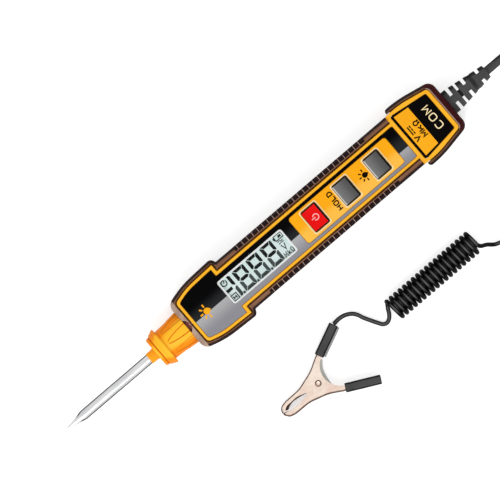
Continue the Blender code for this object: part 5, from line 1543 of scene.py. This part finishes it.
def make_lip(name, key, spacing, *edges):
    """Turned-in edge of the fixed jaw's far plate, between two curves."""
    routes = [smooth_route([(*place, 0) for place in edge], spacing) for edge in edges]
    outline = [CLIP.xy + point.xy for route in routes for point in route]
    low = CLIP.z - FIXED_DEPTH / 2 + 0.00001
    return piece(name, prism(outline, low, low + SHEET - 0.00002), key)


def make_rivet():
    """Domed tube rivet with a dimple in each head."""
    face, head = FIXED_DEPTH / 2 + 0.00015, FIXED_DEPTH / 2 + 0.00055
    half = [(head - 0.00026, 0.0), (head - 0.00026, 0.00072), (head - 0.00018, 0.00086), (head, 0.00095)]
    half += [(head, 0.0012), (head - 0.00008, 0.00138), (head - 0.0002, 0.00147), (face, 0.0015), (face, 0.001)]
    bm = bmesh.new()
    upright = Matrix.Translation(CLIP) @ Matrix.Rotation(-pi / 2, 4, "Y")
    add_turned(bm, [(-x, radius) for x, radius in half] + half[::-1], 40, upright)
    # Painted shade where each head slopes down to its rim
    mark(bm, lambda place, normal: (place.xy - CLIP.xy).length > 0.00104)
    return piece("rivet", bm, "copper copper_edge", stands_for=("clip_rivet",))


def make_spring():
    """Torsion spring round the rivet, with a leg out to each handle."""
    pitch, count, radius, wire = 0.00085, 3, 0.0021, 0.00035
    sweep = count + 0.5
    low = -pitch * count / 2
    rise = pitch * count / sweep
    coil = []
    for index in range(int(sweep * 28) + 1):
        angle = -pi / 2 + radians(35) + 2 * pi * index / 28
        coil.append(Vector((radius * cos(angle), radius * sin(angle), low + rise * index / 28)))
    reach = SHEET + wire + GAP
    first, last = Vector((0.0068, -0.01 + reach, low)), Vector((0.0062, 0.0094 - reach, -low))
    legs = [first.lerp(coil[0], step / 10) for step in range(10)]
    ends = [coil[-1].lerp(last, step / 10) for step in range(1, 11)]
    bm = bmesh.new()
    add_tube(bm, [CLIP + point for point in (*legs, *coil, *ends)], wire, 12)
    spring = piece("torsion_spring", bm, "plated", None, ("clip_spring",), 60)
    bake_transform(spring)
    return spring


def make_clip():
    fixed = (FIXED_HANDLE, 1, FIXED_EDGES, FIXED_DEPTH, 0.0005)
    moving = (MOVING_HANDLE, -1, MOVING_EDGES, MOVING_DEPTH, 0.0008)
    return [
        make_jaw("clip_jaw_fixed", *fixed, "tester", "clip_fixed_jaw"),
        make_jaw("clip_jaw_moving", *moving, "clip_lever", "clip_moving_jaw"),
        make_sleeve("sleeve_fixed", FIXED_HANDLE, 0.0086, "tester", "clip_fixed_sleeve", "sleeve"),
        make_sleeve("sleeve_moving", MOVING_HANDLE, 0.007, "clip_lever", "clip_moving_sleeve", "sleeve_low"),
        make_rivet(),
        # Seen through the slot between the jaws, in darker copper as painted shade
        make_lip(
            "jaw_lip", "copper_dark", 0.0006,
            ((-0.0072, 0.0001), (-0.0088, 0.0004), (-0.011, 0.0008), (-0.0142, 0.001), (-0.0165, 0.00045),
             (-0.0179, -0.0003), (-0.0191, 0.0001)),
            ((-0.0195, 0.0006), (-0.0178, 0.0018), (-0.0145, 0.0021), (-0.0112, 0.002), (-0.0085, 0.0014),
             (-0.0066, 0.0006)),
        ),
        # Seen through the open bow between the handles
        make_lip(
            "handle_lip", "lip", 0.0005,
            ((0.0039, -0.0044), (0.0036, -0.002), (0.0036, 0.0004), (0.0043, 0.0032), (0.0058, 0.0058),
             (0.0078, 0.0076)),
            ((0.0084, 0.0067), (0.0068, 0.0048), (0.0056, 0.0024), (0.005, 0.0), (0.0047, -0.0022),
             (0.0045, -0.0044)),
        ),
        make_sleeve_side_highlight(),
    ]


# Back

def make_door():
    """Battery door with a thumb grip of sunk ridges, an arrow and a sunk screw hole."""
    start, end, half, thick, screw = 0.034475, 0.091775, 0.01039, 0.0016, 0.088375
    cutters = []
    for index in range(9):
        x, reach = start + 0.0052 + 0.0013 * index, 0.0062 - 0.00012 * (index - 4) ** 2
        cutters.append(prism(rectangle(x - 0.0003, x + 0.0003, -reach, reach, 0.00029, 4), -0.001, 0.0003))
    tip = start + 0.0019
    arrow = [Vector((tip, 0)), Vector((tip + 0.0018, -0.0018)), Vector((tip + 0.0018, 0.0018))]
    cutters.append(prism(arrow, -0.001, 0.00025))
    cutters.append(prism(disc(0.0022, 36, screw), -0.001, 0.001))
    cutters.append(prism(disc(0.00125, 36, screw), -0.002, 0.003))
    bm = carved(prism(rectangle(start, end, -half, half, 0.0009, 5), 0.0, thick), cutters)
    add_block(bm, shrinking(start - 0.0021, start + 0.0004, -0.004, 0.004), 0.0015, 0.0023, 0.0001, 1)
    soften(piece("door", bm, "orange", stands_for=("battery_door",)), 0.00012)


def make_screws():
    """Pan screws with a cross recess in place of the plain ones."""
    for name in ("case_screw_1", "case_screw_2", "case_screw_3", "case_screw_4", "door_screw"):
        low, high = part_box(name)
        length = high[2] - low[2]
        profile = [(0.0, 0.0), (0.0, 0.00145), (0.00006, 0.00165), (0.00022, 0.00182), (0.00045, 0.0019)]
        profile += [(0.0008, 0.0019), (0.0008, 0.00095)]
        for index in range(int((length - 0.0022) / 0.0004)):
            start = 0.001 + 0.0004 * index
            profile += [(start, 0.00078), (start + 0.00018, 0.00095), (start + 0.00024, 0.00095)]
        profile += [(length - 0.0009, 0.0008), (length, 0.0002), (length, 0.0)]
        blank = bmesh.new()
        add_turned(blank, profile, 28, Matrix.Rotation(-pi / 2, 4, "Y"))
        arms = ((0.0011, 0.00024), (0.00024, 0.0011))
        bm = carved(blank, [prism(rectangle(-x, x, -y, y), -0.001, 0.00045) for x, y in arms])
        bmesh.ops.translate(bm, verts=bm.verts, vec=((low[0] + high[0]) / 2, (low[1] + high[1]) / 2, low[2]))
        piece("cross_" + name, bm, "plated", stands_for=(name,))


# Cord, as steps along and across from where each route starts, and height over the floor

LEAD_FALL = (
    (0.0044, -0.0002, 0.0099), (0.0109, -0.0009, 0.0078), (0.0179, -0.0032, 0.0041), (0.0249, -0.0078, 0.0014),
    (0.0311, -0.0150, 0.0003), (0.0349, -0.0246, 0.0002), (0.0355, -0.0350, 0.0001), (0.0321, -0.0460, 0.0001),
)
LEAD_RETURN = (
    (0.0899, -0.0010, 0.0001), (0.0791, -0.0088, 0.0001), (0.0659, -0.0144, 0.0001), (0.0514, -0.0176, 0.0001),
    (0.0365, -0.0176, 0.0001), (0.0232, -0.0149, 0.0002), (0.0137, -0.0111, 0.0003), (0.0079, -0.0083, 0.0005),
    (0.0053, -0.0073, 0.0013), (0.0027, -0.0052, 0.0038),
)
TAIL_RISE = ((0.0040, 0.0002, 0.0030), (0.0076, -0.0008, 0.0019), (0.0103, -0.0030, 0.0010))
TAIL_RUN = (
    (-0.0112, 0.0060, 0.0004), (-0.0094, 0.0028, 0.0002), (-0.0078, 0.0001, 0.0001), (-0.0063, -0.0020, 0.0001),
    (-0.0047, -0.0026, 0.0002), (-0.0031, -0.0021, 0.0003), (-0.0014, -0.0003, 0.0007), (-0.0001, 0.0021, 0.0011),
)
COIL_START = 0.03305
COIL_END = 0.0831
COIL_Y = -0.0546
COIL_Z = 0.00595
COIL_PITCH = 0.0026
COIL_TURN_RADIUS = 0.00493
COIL_STEPS = 14
SLEEVE_END = (0.0098, -0.04196)


def laid(route, x, y):
    return [(x + along, y + across, CORD_RADIUS + height) for along, across, height in route]


def coil_points():
    """Turns from the lead's end to the tail's end."""
    first, last = COIL_END - CORD_RADIUS, COIL_START + CORD_RADIUS
    points = []
    for index in range(int((first - last) / COIL_PITCH * COIL_STEPS) + 1):
        angle = radians(120) - 2 * pi * index / COIL_STEPS
        y, z = COIL_Y + COIL_TURN_RADIUS * cos(angle), COIL_Z + COIL_TURN_RADIUS * sin(angle)
        points.append((first - COIL_PITCH * index / COIL_STEPS, y, z))
    return points


def make_cord():
    lead = [(RELIEF_END + GAP, 0, AXIS), *laid(LEAD_FALL, RELIEF_END, 0), *laid(LEAD_RETURN, COIL_END, COIL_Y)]
    tail = [(*SLEEVE_END, CLIP.z), *laid(TAIL_RISE, *SLEEVE_END), *laid(TAIL_RUN, COIL_START, COIL_Y)]
    points = lead + coil_points() + tail[::-1]
    curve = bpy.data.curves.new("curly_cord", "CURVE")
    curve.dimensions = "3D"
    curve.bevel_depth = CORD_RADIUS
    curve.bevel_resolution = 3
    curve.resolution_u = 5
    curve.use_fill_caps = True
    spline = curve.splines.new("BEZIER")
    spline.bezier_points.add(len(points) - 1)
    for knot, place in zip(spline.bezier_points, points):
        knot.co = place
        knot.handle_left_type = "AUTO"
        knot.handle_right_type = "AUTO"
    cord = added("curly_cord", curve, "black")
    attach(cord, "tester")
    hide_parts("cord_lead", "cord_coil", "cord_tail")
    return cord


# Camera, floor and light

WHITE = (1.0, 1.0, 1.0, 1.0)


def make_floor():
    """Pale floor that shades plainly and glows a little for the camera only."""
    bm = bmesh.new()
    bmesh.ops.create_grid(bm, x_segments=1, y_segments=1, size=3.0)
    floor = added("floor", mesh_of("floor", bm))
    finish = Finish("floor_white")
    shade = finish.node("BsdfDiffuse", None, {"Color": (0.8, 0.8, 0.8, 1.0)})
    glow = finish.node("Emission", None, {"Color": WHITE, "Strength": 0.56})
    both = finish.node("AddShader", None, {0: shade, 1: glow})
    camera = finish.node("LightPath", output="Is Camera Ray")
    shown = finish.node("MixShader", None, {"Fac": camera, 1: shade, 2: both})
    finish.feed(finish.tree.nodes["Material Output"].inputs["Surface"], shown)
    floor.data.materials.append(finish.material)


def make_world():
    """Even light from all sides, and plain white for the camera."""
    world = bpy.data.worlds.new("studio")
    world.use_nodes = True
    bpy.context.scene.world = world
    tree = world.node_tree
    rays = tree.nodes.new("ShaderNodeLightPath")
    mix = tree.nodes.new("ShaderNodeMixShader")
    tree.links.new(rays.outputs["Is Camera Ray"], mix.inputs["Fac"])
    skies = (tree.nodes["Background"], 0.74), (tree.nodes.new("ShaderNodeBackground"), 1.0)
    for index, (sky, strength) in enumerate(skies, 1):
        sky.inputs["Color"].default_value = WHITE
        sky.inputs["Strength"].default_value = strength
        tree.links.new(sky.outputs[0], mix.inputs[index])
    tree.links.new(mix.outputs[0], tree.nodes["World Output"].inputs["Surface"])


def make_light(name, power, size, place):
    """Soft rectangle of light that shines on the middle of the pen."""
    data = bpy.data.lights.new(name, "AREA")
    data.shape = "RECTANGLE"
    data.size, data.size_y = size
    data.energy = power
    light = added(name, data)
    light.location = place
    light.rotation_mode = "QUATERNION"
    light.rotation_quaternion = (-Vector(place)).to_track_quat("-Z", "Y")


def make_camera():
    """Camera far above, turned so that the pen lies as in the photograph."""
    data = bpy.data.cameras.new("camera")
    data.lens = 1200.0
    data.sensor_width = 36.0
    camera = added("camera", data)
    across = 0.225
    camera.location = (0.00279, 0.00785, 0.012 + across * data.lens / data.sensor_width)
    camera.rotation_euler = (0.0, 0.0, radians(-40.5))
    bpy.context.scene.camera = camera


def main():
    bpy.context.scene.view_settings.view_transform = "Standard"
    paint_kept_nodes()
    make_grip()
    make_tail_bumper()
    make_orange_case()
    soften(nodes["rear_shell"], 0.0002)
    make_panel()
    make_display()
    make_keys()
    make_prints()
    make_nozzle()
    make_probe()
    make_lamp()
    make_door()
    make_screws()
    relief = make_relief()
    spring = make_spring()
    clip = make_clip()
    cord = make_cord()
    make_floor()
    make_world()
    make_light("key_light", 2.4, (0.4, 0.4), (-0.34, -0.36, 0.6))
    make_light("side_light", 0.4, (0.6, 0.3), (0.4, 0.45, 0.6))
    make_camera()


main()
